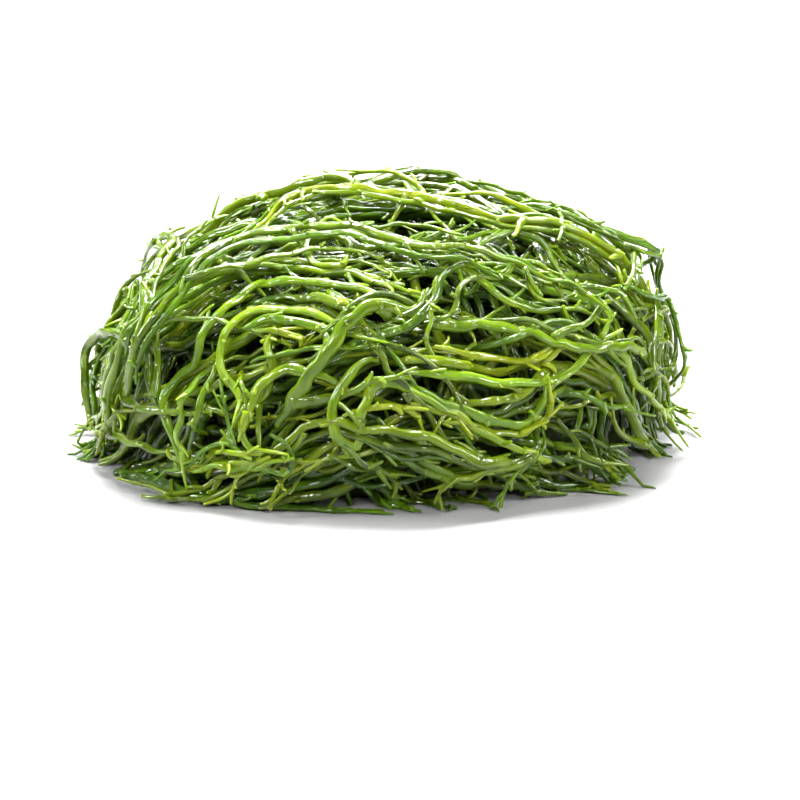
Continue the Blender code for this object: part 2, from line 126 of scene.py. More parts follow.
@dataclass
class Mound:
    """The smooth surface that the strands are laid on, addressed by polar map coordinates (u, v).

    The map radius is the length of the way down from the crown: over the shoulder, down the flank,
    through the hollow foot and out on the table.
    """

    half_width: float = 73 * MM
    half_depth: float = 58 * MM
    height: float = 60 * MM
    fullness: float = 2.4
    foot_radius: float = 12 * MM
    table_reach: float = 1 * MM
    profile_points: int = 90
    lean: float = 0.09
    hump: float = 0.02
    hump_width: float = 17 * MM
    hump_depth: float = 23 * MM
    lump: float = 0.035
    lumps: int = 3
    lump_turn: float = 0.9
    nudge: float = 0.4 * MM

    def __post_init__(self) -> None:
        """Works out the profile from the crown to the table."""
        turn = np.linspace(0, math.pi / 2, self.profile_points)
        crown_x = self.half_width * np.sin(turn) ** (2 / self.fullness)
        crown_z = self.foot_radius + (self.height - self.foot_radius) * np.cos(turn) ** (2 / self.fullness)
        foot_x = self.half_width + self.foot_radius * (1 - np.cos(turn[1:]))
        foot_z = self.foot_radius * (1 - np.sin(turn[1:]))
        end_x = 2 * (self.half_width + self.foot_radius)
        self.x = np.concatenate([crown_x, foot_x, [end_x]])
        self.z = np.concatenate([crown_z, foot_z, [0.0]])
        self.way = np.concatenate([[0], np.cumsum(np.hypot(np.diff(self.x), np.diff(self.z)))])
        self.flank_end = self.way[len(turn) - 1]
        self.limit = self.way[-2] + self.table_reach
        self.area = np.concatenate([[0], np.cumsum(self.x[:-1] * np.diff(self.way))])

    def point(self, u: np.ndarray, v: np.ndarray) -> np.ndarray:
        """The surface points over map positions.

        Args:
            u: first map coordinates.
            v: second map coordinates.

        Returns:
            The points, with a last axis of x, y and z.
        """
        turn = np.arctan2(v, u)
        way = np.hypot(u, v)
        radius = np.interp(way, self.way, self.x) * self.plan(turn)
        x, y = radius * np.cos(turn), radius * np.sin(turn)
        return np.stack([x, y, np.interp(way, self.way, self.z) * self.rise(x, y)], axis=-1)

    def plan(self, turn: np.ndarray) -> np.ndarray:
        """The heap's reach towards a compass turn.

        Args:
            turn: the turn from the right.

        Returns:
            The reach, as a share of an even heap's reach to the right.
        """
        depth = self.half_depth / self.half_width
        oval = (np.cos(turn) ** 2 + (np.sin(turn) / depth) ** 2) ** -0.5
        return oval * (1 + self.lump * np.sin(self.lumps * turn + self.lump_turn))

    def rise(self, x: np.ndarray, y: np.ndarray) -> np.ndarray:
        """The share by which the heap is higher at (x, y) than an even mound."""
        hump = np.sin(x / self.hump_width + y / self.hump_depth)
        return 1 + self.lean * x / self.half_width + self.hump * hump

    def frame(self, u: np.ndarray, v: np.ndarray) -> tuple[np.ndarray, np.ndarray, np.ndarray, np.ndarray]:
        """The surface's place and directions at map positions.

        Args:
            u: first map coordinates.
            v: second map coordinates.

        Returns:
            The points, their change along u, their change along v, and the outward normals.
        """
        nudge = self.nudge
        here = self.point(u, v)
        along_u = (self.point(u + nudge, v) - self.point(u - nudge, v)) / (2 * nudge)
        along_v = (self.point(u, v + nudge) - self.point(u, v - nudge)) / (2 * nudge)
        normal = np.cross(along_u, along_v)
        return here, along_u, along_v, normal / np.linalg.norm(normal, axis=-1, keepdims=True)

    def spread(self, index: int, count: int, share: float) -> np.ndarray:
        """One of a number of map positions spread evenly over the top of the surface.

        Args:
            index: which of them.
            count: how many there are in all.
            share: the part of the surface over the foot that they are spread over, by area.

        Returns:
            The map position.
        """
        region = np.interp(self.flank_end, self.way, self.area) * share
        way = np.interp((index + 0.5) / count * region, self.area, self.way)
        return np.array([way * math.cos(index * GOLDEN_ANGLE), way * math.sin(index * GOLDEN_ANGLE)])


@dataclass(frozen=True)
class Comb:
    """The way in which the heap is combed: left to right, up one flank and down the other."""

    half_width: float = 73 * MM
    droop: float = 0.85
    sway: float = 0.30
    wave_x: float = 21 * MM
    wave_z: float = 16 * MM
    wave_start: float = 1.0
    cross_sway: float = 0.22
    cross_wave_y: float = 15 * MM
    cross_wave_x: float = 34 * MM
    sway_lift: float = 0.25

    def way(self, place: np.ndarray) -> np.ndarray:
        """The combed direction at a place, not yet laid on the surface.

        Args:
            place: the place in space.

        Returns:
            The direction.
        """
        x, y, z = place
        sway = self.sway * math.sin(x / self.wave_x + z / self.wave_z + self.wave_start)
        sway += self.cross_sway * math.sin(y / self.cross_wave_y - x / self.cross_wave_x)
        lift = self.sway_lift * math.sin(sway) - self.droop * x / self.half_width
        return np.array([math.cos(sway), math.sin(sway), lift])


@dataclass(frozen=True)
class Habit:
    """How one kind of thallus grows. A range is what each thallus draws its own value from."""

    length: Range = (105 * MM, 150 * MM)
    step: float = 7.0 * MM
    radius: float = 1.45 * MM
    girth: Range = (0.85, 1.12)
    tip_share: float = 0.42
    taper_power: float = 1.4
    tip_radius: float = 0.32 * MM
    joint_gap: int = 2
    branch_cycle: int = 5
    branch_joints: int = 2
    branch_region: float = 0.75
    branch_share: float = 0.78
    branch_length: Range = (24 * MM, 48 * MM)
    branch_angle: Range = (0.4, 0.75)
    spur_share: float = 0.62
    spur_angle: Range = (0.6, 1.0)
    fork_run: float = 30 * MM
    heading_spread: float = 0.24
    crossing_share: float = 0.2
    crossing_angle: float = 1.2
    swing: Range = (0.16, 0.42)
    side_swing: float = 0.22
    long_wave: Range = (55 * MM, 90 * MM)
    short_wave: Range = (26 * MM, 40 * MM)
    short_share: float = 0.55
    hook_share: float = 0.0
    hook_turn: Range = (1.2, 3.0)
    hook_run: float = 18 * MM
    hook_place: Range = (8 * MM, 45 * MM)


@dataclass
class Axis:
    """One round stem: its bends on the map, their radii and their heights over the mound."""

    bends: np.ndarray
    radii: np.ndarray
    joint: int = -1
    heights: Optional[np.ndarray] = None
    needed: Optional[np.ndarray] = None


def between(values: np.ndarray, per_step: int) -> np.ndarray:
    """The values, with more of them put in between.

    Args:
        values: one row for each bend.
        per_step: how many samples each gap between two bends gives.

    Returns:
        The samples, on straight lines between the values.
    """
    last = len(values) - 1
    at = np.linspace(0, last, last * per_step + 1)
    low = np.minimum(at.astype(int), last - 1)
    share = at - low
    if values.ndim > 1:
        share = share[:, None]
    return values[low] * (1 - share) + values[low + 1] * share


@dataclass
class Pile:
    """How high the strands already laid reach over each spot of the mound."""

    mound: Mound
    cell: float = 0.6 * MM
    clearance: float = 0.62 * MM
    bottom: float = 0.0
    level: float = 4 * MM
    margin: int = 8
    squeeze: float = 1.75
    spare_cells: int = 2
    samples: int = 8
    smoothings: int = 2

    def __post_init__(self) -> None:
        """Lays out the map."""
        self.half = int(self.mound.limit / self.cell) + self.margin
        ticks = (np.arange(2 * self.half + 1) - self.half) * self.cell
        u, v = np.meshgrid(ticks, ticks, indexing="ij")
        place, _, _, normal = self.mound.frame(u, v)
        self.place = place + normal * self.level
        self.top = np.full(u.shape, self.bottom)

    def window(self, samples: np.ndarray, radius: float) -> tuple[np.ndarray, np.ndarray, np.ndarray]:
        """The cells round each sample.

        Args:
            samples: map positions.
            radius: how far the cells of interest are away, in space.

        Returns:
            The cells' rows and columns, and how much nearer than the radius they are, as squares.
        """
        reach = int(radius / self.cell * self.squeeze) + self.spare_cells
        near = np.arange(-reach, reach + 1)
        middle = np.rint(samples / self.cell).astype(int) + self.half
        last = self.top.shape[0] - 1
        rows = np.clip(middle[:, 0, None, None] + near[None, :, None], 0, last)
        columns = np.clip(middle[:, 1, None, None] + near[None, None, :], 0, last)
        rows, columns = np.broadcast_arrays(rows, columns)
        here, _, _, normal = self.mound.frame(samples[:, 0], samples[:, 1])
        centre = (here + normal * self.level)[:, None, None, :]
        square = ((self.place[rows, columns] - centre) ** 2).sum(axis=-1)
        return rows, columns, radius**2 - square

    def needed(self, samples: np.ndarray, radius: float) -> np.ndarray:
        """How high a round stem has to lie to clear what is under it.

        Args:
            samples: map positions along the stem.
            radius: its radius.

        Returns:
            The least height of its middle over the mound, for each sample.
        """
        rows, columns, arch = self.window(samples, radius + self.clearance)
        rest = self.top[rows, columns] + np.sqrt(np.maximum(arch, 0))
        return np.where(arch > 0, rest, self.bottom).max(axis=(1, 2))

    def lay(self, samples: np.ndarray, heights: np.ndarray, radius: float) -> None:
        """Adds a round stem to the pile.

        Args:
            samples: map positions along the stem.
            heights: the height of its middle over the mound at each.
            radius: its radius.
        """
        rows, columns, arch = self.window(samples, radius)
        reach = heights[:, None, None] + np.sqrt(np.maximum(arch, 0))
        inside = arch > 0
        np.maximum.at(self.top, (rows[inside], columns[inside]), reach[inside])

    def weigh(self, axes: list[Axis]) -> float:
        """Finds the least height of each bend of a thallus.

        Args:
            axes: the thallus's stems, its main axis first.

        Returns:
            How high it would lie on average.
        """
        per = self.samples
        for axis in axes:
            asked = self.needed(between(axis.bends, per), axis.radii.max())
            steps = [asked[k * per : (k + 1) * per + 1].max() for k in range(len(axis.bends) - 1)]
            steps = np.array([steps[0], *steps, steps[-1]])
            axis.needed = np.maximum(steps[:-1], steps[1:])
        for axis in axes[1:]:
            axes[0].needed[axis.joint] = max(axes[0].needed[axis.joint], axis.needed[0])
        return float(np.concatenate([axis.needed for axis in axes]).mean())

    def settle(self, axes: list[Axis], ceiling: float = math.inf) -> None:
        """Sets the heights of a weighed thallus's axes, with no sharp dips, and adds it to the pile.

        Args:
            axes: the thallus's stems, its main axis first.
            ceiling: the height that none of them rises above.
        """
        for axis in axes:
            axis.heights = np.minimum(axis.needed, ceiling - axis.radii)
            for _ in range(self.smoothings):
                middle = (axis.heights[:-2] + axis.heights[2:]) / 2
                axis.heights[1:-1] = np.maximum(axis.heights[1:-1], middle)
        for axis in axes[1:]:
            axis.heights[0] = axes[0].heights[axis.joint]
        for axis in axes:
            samples, heights = between(axis.bends, self.samples), between(axis.heights, self.samples)
            self.lay(samples, heights, axis.radii.max())


Heading = Callable[[float], float]


@dataclass
class Grower:
    """Grows thalli of one habit over the mound."""

    mound: Mound
    comb: Comb
    habit: Habit
    limit: float

    def walk(self, start: np.ndarray, sign: int, aim: Heading, count: int) -> list[np.ndarray]:
        """Walks over the surface from one bend to the next.

        Args:
            start: the first bend.
            sign: 1 to go with the combed way, -1 to go against it.
            aim: the angle to the combed way, from the length so far.
            count: the most steps.

        Returns:
            The bends.
        """
        step_length = self.habit.step
        bends = [np.array(start)]
        for step in range(count):
            u, v = bends[-1]
            place, along_u, along_v, normal = self.mound.frame(u, v)
            move = self.turned(self.comb.way(place) * sign, normal, aim(step * step_length)) * step_length
            cross = along_u.dot(along_v)
            grid = np.array([[along_u.dot(along_u), cross], [cross, along_v.dot(along_v)]])
            after = bends[-1] + np.linalg.solve(grid, np.array([move.dot(along_u), move.dot(along_v)]))
            if np.hypot(*after) > self.limit:
                break
            bends.append(after)
        return bends

    @staticmethod
    def turned(direction: np.ndarray, normal: np.ndarray, angle: float) -> np.ndarray:
        """A direction, laid flat on the surface and turned.

        Args:
            direction: the direction in space.
            normal: the surface's normal.
            angle: how far it is turned round the normal.

        Returns:
            The unit vector.
        """
        flat = direction - normal * direction.dot(normal)
        flat = flat / np.linalg.norm(flat)
        return flat * math.cos(angle) + np.cross(normal, flat) * math.sin(angle)

    def wander(self, draw: random.Random, swing: float) -> Heading:
        """A slow random swing of a stem's heading along its length.

        Args:
            draw: where its random values come from.
            swing: how far the slower of its two waves swings, in radians.

        Returns:
            The swing at any length along the stem.
        """
        habit = self.habit
        long_wave, short_wave = draw.uniform(*habit.long_wave), draw.uniform(*habit.short_wave)
        long_start, short_start = draw.uniform(0, math.tau), draw.uniform(0, math.tau)

        def heading(way: float) -> float:
            """The swing at a length along the stem."""
            slow = math.sin(way / long_wave * math.tau + long_start)
            return swing * (slow + habit.short_share * math.sin(way / short_wave * math.tau + short_start))

        return heading

    def hook(self, draw: random.Random) -> Heading:
        """The turn with which some thalli curl or double back near their ends.

        Args:
            draw: where its random values come from.

        Returns:
            The turn at any length from the stem's middle.
        """
        habit = self.habit
        if habit.hook_share == 0 or draw.random() > habit.hook_share:
            return lambda way: 0.0
        turn = draw.uniform(*habit.hook_turn) * draw.choice([-1, 1])
        place = draw.uniform(*habit.hook_place)
        return lambda way: turn * min(1.0, max(0.0, (way - place) / habit.hook_run))

    def tapered(self, count: int, first: float, last: float) -> np.ndarray:
        """Radii from first to last, with more of the taper near the end."""
        return first + (last - first) * np.linspace(0, 1, count) ** self.habit.taper_power

    def main_axis(
        self, draw: random.Random, middle: np.ndarray, length: float, radius: float
    ) -> tuple[Axis, int, Callable[[int], float]]:
        """Grows the stem that carries the others, both ways from its middle.

        Args:
            draw: where its random values come from.
            middle: its middle on the map.
            length: its length.
            radius: its radius at the thick end.

        Returns:
            The stem, the sign that it runs with and its heading at a bend.
        """
        habit = self.habit
        if draw.random() < habit.crossing_share:
            spread = draw.uniform(-habit.crossing_angle, habit.crossing_angle)
        else:
            spread = draw.gauss(0, habit.heading_spread)
        swing = self.wander(draw, draw.uniform(*habit.swing))
        ahead, behind = self.hook(draw), self.hook(draw)
        half = int(length / 2 / habit.step)
        forward = self.walk(middle, 1, lambda way: spread + swing(way) + ahead(way), half)
        backward = self.walk(middle, -1, lambda way: spread + swing(-way) + behind(way), half)
        bends = backward[:0:-1] + forward
        sign, first = 1, len(backward) - 1
        if draw.random() < 0.5:
            bends.reverse()
            sign, first = -1, len(forward) - 1
        radii = self.tapered(len(bends), radius, radius * habit.tip_share)
        radii[-1] = habit.tip_radius
        step = sign * habit.step

        def heading(bend: int) -> float:
            """The angle to the combed way at a bend."""
            way = (bend - first) * step
            return spread + swing(way) + (ahead(way) if way > 0 else behind(-way))

        return Axis(np.array(bends), radii), sign, heading

    def side_axis(
        self,
        draw: random.Random,
        parent: Axis,
        joint: int,
        sign: int,
        start: float,
        turn: float,
        length: float,
        share: float,
    ) -> Axis:
        """Grows a stem that leaves its parent at a bend and then runs along with it.

        Args:
            draw: where its random values come from.
            parent: the stem that it grows from.
            joint: the parent's bend that it grows from.
            sign: 1 where the parent runs with the combed way, -1 against it.
            start: the parent's heading there.
            turn: the angle at which it leaves.
            length: its length.
            share: its radius at the joint, as a share of the parent's.

        Returns:
            The stem.
        """
        swing = self.wander(draw, self.habit.side_swing)

        def aim(way: float) -> float:
            """The heading at a length along the stem."""
            return start + turn * math.exp(-way / self.habit.fork_run) + swing(way) - swing(0)

        bends = self.walk(parent.bends[joint], sign, aim, max(1, round(length / self.habit.step)))
        radii = self.tapered(len(bends), parent.radii[joint] * share, self.habit.tip_radius)
        return Axis(np.array(bends), radii, joint)

    def thallus(self, draw: random.Random, middle: np.ndarray) -> list[Axis]:
        """Grows a main axis with long branches and short spurs on alternate sides.

        Args:
            draw: where its random values come from.
            middle: its middle on the map.

        Returns:
            Its stems, the main axis first.
        """
        habit = self.habit
        length, radius = draw.uniform(*habit.length), habit.radius * draw.uniform(*habit.girth)
        main, sign, heading = self.main_axis(draw, middle, length, radius)
        axes = [main]
        last = len(main.bends) - 2
        side = draw.choice([-1, 1])
        for joint in range(1 + draw.randrange(habit.joint_gap), last, habit.joint_gap):
            if joint % habit.branch_cycle < habit.branch_joints and joint < habit.branch_region * last:
                length, share = draw.uniform(*habit.branch_length), habit.branch_share
                turn = draw.uniform(*habit.branch_angle)
            else:
                length, share, turn = habit.step, habit.spur_share, draw.uniform(*habit.spur_angle)
            axis = self.side_axis(draw, main, joint, sign, heading(joint), side * turn, length, share)
            if len(axis.bends) > 1:
                axes.append(axis)
                side = -side
        return axes


def unit(vectors: np.ndarray) -> np.ndarray:
    """The vectors, each brought to length 1."""
    return vectors / np.maximum(np.linalg.norm(vectors, axis=-1, keepdims=True), NO_LENGTH)


def on_map(moves: np.ndarray, along_u: np.ndarray, along_v: np.ndarray) -> np.ndarray:
    """The steps on a map that make these moves in space.

    Args:
        moves: the moves.
        along_u: how the place in space changes along the map's first coordinate.
        along_v: the same along its second.

    Returns:
        The steps, as near as the map allows.
    """
    uu, uv, vv = (along_u**2).sum(axis=-1), (along_u * along_v).sum(axis=-1), (along_v**2).sum(axis=-1)
    mu, mv = (moves * along_u).sum(axis=-1), (moves * along_v).sum(axis=-1)
    spread = uu * vv - uv**2
    return np.stack([(mu * vv - mv * uv) / spread, (mv * uu - mu * uv) / spread], axis=-1)


@dataclass(frozen=True)
class Lock:
    """How wet strands cling together: how others run beside the one that leads them."""

    ranks: tuple[int, ...] = (1, -1, 2)
    girth: Range = (0.7, 1.0)
    closeness: Range = (0.84, 1.02)
    waver: float = 0.6 * MM
    waver_wave: Range = (28 * MM, 60 * MM)
    parting: Range = (-1.0 * MM, 5.0 * MM)
    parting_power: int = 3
    shortfall: int = 4
    least_bends: int = 3
    root: float = 0.7
    tip_radius: float = 0.4 * MM

    def beside(self, mound: Mound, leader: Axis, rank: int, draw: random.Random) -> Axis:
        """A strand that clings to its leader, and parts from it a little towards its end.

        Args:
            mound: the surface that they lie on.
            leader: the strand that it follows.
            rank: how many strands away it lies, to the left if negative.
            draw: where its random values come from.

        Returns:
            The strand, with the leader's heights where the leader has them.
        """
        here, along_u, along_v, normal = mound.frame(leader.bends[:, 0], leader.bends[:, 1])
        aside = unit(np.cross(normal, np.gradient(here, axis=0)))
        radii = leader.radii * draw.uniform(*self.girth)
        share = np.linspace(0, 1, len(radii)) if draw.random() < 0.5 else np.linspace(1, 0, len(radii))
        steps = np.linalg.norm(np.diff(here, axis=0), axis=1)
        way = np.concatenate([[0], np.cumsum(steps)]) / draw.uniform(*self.waver_wave) * math.tau
        reach = rank * draw.uniform(*self.closeness) * (leader.radii + radii)
        part = math.copysign(draw.uniform(*self.parting), rank) * share**self.parting_power
        move = aside * (reach + part + self.waver * np.sin(way + draw.uniform(0, math.tau)))[:, None]
        bends = leader.bends + on_map(move, along_u, along_v)
        first = draw.randrange(self.shortfall)
        last = len(radii) - draw.randrange(self.shortfall)
        keep = slice(first, last) if last - first > self.least_bends else slice(None)
        heights = leader.heights[keep].copy() if leader.heights is not None else None
        radii = radii[keep].copy()
        radii[0], radii[-1] = radii[0] * self.root, self.tip_radius
        return Axis(bends[keep], radii, heights=heights)


Make = Callable[[random.Random, np.ndarray], list[Axis]]


@dataclass
class Bed:
    """Lays thalli of one kind on the pile, each where it lies lowest of a few tries."""

    pile: Pile
    name: str
    make: Make
    count: int
    region: float
    tries: int = 7
    stray: float = 9 * MM
    length_worth: float = 0.14 * MM
    ceiling: float = math.inf
    highest: float = math.inf
    lock: Optional[Lock] = None

    def placed(self, index: int, arch: Optional[Callable[[Axis], None]] = None) -> list[Axis]:
        """Lays one thallus.

        Args:
            index: its number, which sets its place and its random values.
            arch: what lifts its main axis, for one that stands up in an arch.

        Returns:
            Its stems, or none where no try stays low enough.
        """
        least, best = math.inf, None
        for attempt in range(self.tries):
            draw = random.Random(f"{SEED} {self.name} {index} {attempt}")
            stray = np.array([draw.uniform(-self.stray, self.stray), draw.uniform(-self.stray, self.stray)])
            axes = self.make(draw, self.pile.mound.spread(index, self.count, self.region) + stray)
            if min(len(axis.bends) for axis in axes) > 1:
                height = self.pile.weigh(axes) - self.length_worth * len(axes[0].bends)
                if height < least and max(axis.needed.max() for axis in axes) < self.highest:
                    least, best = height, axes
        if best is None:
            return []
        if arch:
            arch(best[0])
        self.pile.settle(best, self.ceiling)
        return best

    def all(self) -> Iterator[list[Axis]]:
        """Lays them all, with the strands that cling to them.

        Returns:
            The stems of each one that fitted, and each strand that clings to it.
        """
        for index in range(self.count):
            axes = self.placed(index)
            if axes:
                yield axes
                yield from self.followers(axes[0], index)

    def followers(self, leader: Axis, index: int) -> Iterator[list[Axis]]:
        """Lays the strands that cling to a thallus's main axis.

        Args:
            leader: the main axis.
            index: the thallus's number, which sets their random values.

        Returns:
            Each strand, as a thallus of one stem.
        """
        if self.lock is None:
            return
        draw = random.Random(f"{SEED} {self.name} lock {index}")
        for rank in self.lock.ranks[: draw.randint(1, len(self.lock.ranks))]:
            follower = [self.lock.beside(self.pile.mound, leader, rank, draw)]
            self.pile.weigh(follower)
            self.pile.settle(follower, self.ceiling)
            yield follower


def path_of(mound: Mound, axis: Axis, heights: np.ndarray) -> np.ndarray:
    """The bends of an axis as points in space, at these heights over the mound."""
    place, _, _, normal = mound.frame(axis.bends[:, 0], axis.bends[:, 1])
    return place + normal * heights[:, None]


@dataclass
class CadThalli:
    """The strands of the CAD model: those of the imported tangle, and the loose thalli draped over it."""

    mound: Mound
    comb: Comb
    count: int = 33
    region: float = 1.05
    heart_count: int = 12
    heart_region: float = 0.85
    heart_limit: float = 0.9
    heart_length: Range = (62 * MM, 90 * MM)
    heart_radius: float = 1.6 * MM
    heart_girth: Range = (0.85, 1.1)
    root_depth: float = 4.5 * MM
    arched: int = 3
    arch_height: float = 4.0 * MM
    arch_bends: int = 6

    def laid_out(self) -> tuple[list[Axis], list[list[Axis]]]:
        """Lays the strands as the CAD model has them.

        Returns:
            The heart's strands, and each loose thallus's stems.
        """
        habit, pile = Habit(), Pile(self.mound)
        low = Grower(self.mound, self.comb, habit, self.heart_limit * self.mound.flank_end)

        def strand(draw: random.Random, middle: np.ndarray) -> list[Axis]:
            """Grows a stem that is as thick at its ends as in its middle.

            Args:
                draw: where its random values come from.
                middle: its middle on the map.

            Returns:
                The stem alone.
            """
            axis, _, _ = low.main_axis(draw, middle, draw.uniform(*self.heart_length), self.heart_radius)
            axis.radii[:] = self.heart_radius * draw.uniform(*self.heart_girth)
            return [axis]

        heart = []
        for axes in Bed(pile, "heart_strand", strand, self.heart_count, self.heart_region).all():
            axes[0].heights[0] = axes[0].heights[-1] = -self.root_depth
            heart.append(axes[0])
        grower = Grower(self.mound, self.comb, habit, self.mound.limit)
        bed = Bed(pile, "grow", grower.thallus, self.count, self.region)
        order = list(range(self.count))
        random.Random(SEED).shuffle(order)
        loose = []
        for turn, index in enumerate(order):
            arched = turn >= self.count - self.arched
            loose.append(bed.placed(index, self.raise_arch if arched else None))
        return heart, loose

    def raise_arch(self, axis: Axis) -> None:
        """Lifts the middle bends of a main axis in an arch.

        Args:
            axis: the main axis, once it is weighed.
        """
        first = max(1, (len(axis.bends) - self.arch_bends) // 2)
        for bend in range(first, min(first + self.arch_bends, len(axis.bends) - 1)):
            axis.needed[bend] += self.arch_height * math.sin((bend - first + 0.5) / self.arch_bends * math.pi)

    def centre(self, heart: list[Axis], loose: list[list[Axis]]) -> np.ndarray:
        """The middle of the box round all the strands.

        Args:
            heart: the heart's strands.
            loose: each loose thallus's stems.

        Returns:
            The middle, brought down to the table.
        """
        axes = heart + [axis for thallus in loose for axis in thallus]
        points = np.concatenate([path_of(self.mound, axis, axis.heights) for axis in axes])
        middle = (points.min(axis=0) + points.max(axis=0)) / 2
        return np.array([middle[0], middle[1], 0])


def curved(values: np.ndarray, at: np.ndarray) -> np.ndarray:
    """The values at fractional places, on a smooth curve through them all.

    Args:
        values: one row for each whole place.
        at: the fractional places.

    Returns:
        One row for each fractional place.
    """
    last = len(values) - 1
    low = np.minimum(at.astype(int), last - 1)
    share = (at - low)[:, None]
    before, here = values[np.maximum(low - 1, 0)], values[low]
    after, beyond = values[low + 1], values[np.minimum(low + 2, last)]
    slope_in, slope_out = (after - before) / 2, (beyond - here) / 2
    square, cube = share**2, share**3
    return (
        here * (2 * cube - 3 * square + 1)
        + slope_in * (cube - 2 * square + share)
        + after * (3 * square - 2 * cube)
        + slope_out * (cube - square)
    )


@dataclass(frozen=True)
class Relief:
    """How the surface of a fine strand differs from a plain tube's."""

    samples: int = 6
    spacing: float = 1.25 * MM
    sides: int = 12
    spur_sides: int = 6
    end_rings: tuple[float, ...] = (20.0, 50.0, 80.0)
    end_stretch: float = 1.5
    end_square: float = 0.01
    stoutness: float = 0.93
    least: float = 0.48 * MM
    most: float = 1.5 * MM
    wave_weights: tuple[float, ...] = (0.5, 0.35, 0.25)
    wobble: float = 0.55 * MM
    wobble_waves: Range = (7 * MM, 26 * MM)
    wobble_run: float = 6 * MM
    wobble_lift: float = 0.6
    lumpiness: float = 0.13
    lump_waves: Range = (5 * MM, 19 * MM)
    knots: float = 0.06
    knot_waves: Range = (2.8 * MM, 5.5 * MM)
    kink: Range = (0.3 * MM, 1.0 * MM)
    kink_run: float = 6 * MM
    flatness: Range = (0.05, 0.28)
    flat_scatter: float = 0.3
    flat_sway: float = 0.6
    flat_run: float = 17 * MM
    groove: Range = (0.02, 0.13)
    groove_turn: float = 2.6
    channel: Range = (0.0, 0.16)
    channel_least: float = 0.6
    channel_swing: float = 0.4
    channel_pace: float = 2.3
    channel_turn: float = 0.8
    channel_power: int = 3
    flare: float = 0.8
    flare_run: float = 2.8 * MM
    root: float = 0.5
    root_run: float = 9 * MM
    spur_lift: Range = (-1.0 * MM, 2.6 * MM)
    spur_bow: Range = (-2.4 * MM, 2.4 * MM)
    thorn_gap: Range = (6 * MM, 26 * MM)
    thorn_end: float = 3 * MM
    thorn_scatter: float = 0.9
    thorn_length: Range = (1.2 * MM, 3.8 * MM)
    thorn_share: Range = (0.4, 0.65)
    thorn_angle: Range = (0.45, 1.05)
    spur_tip: float = 0.3 * MM
    spur_end: float = 0.45
    spur_last_ring: float = 0.94
    spur_taper: float = 0.55
    spur_flare: float = 1.5
    spur_curl: Range = (-0.7, 1.0)
    spur_rise: Range = (-0.5, 0.3)
    spur_tilt: float = 0.1
    fork_places: tuple[float, ...] = (3.5 * MM, 7.5 * MM, 12 * MM)
    fork_shift: Range = (0.8, 1.3)
    fork_chance: float = 0.75
    fork_scatter: float = 0.4
    fork_length: Range = (2.5 * MM, 7.0 * MM)
    fork_share: Range = (0.6, 0.85)
    fork_angle: Range = (0.35, 0.75)
    table_gap: float = 0.15 * MM


@dataclass
class Rod:
    """A fine round stem in space: its middle line, which way is up along it, and its radii."""

    points: np.ndarray
    ups: np.ndarray
    radii: np.ndarray
    lengths: np.ndarray
    youth: np.ndarray

    def directions(self) -> tuple[np.ndarray, np.ndarray, np.ndarray]:
        """Which way the stem runs at each point.

        Returns:
            The unit vectors ahead, to the side and up.
        """
        ahead = unit(np.gradient(self.points, axis=0))
        aside = unit(np.cross(ahead, self.ups))
        return ahead, aside, np.cross(aside, ahead)


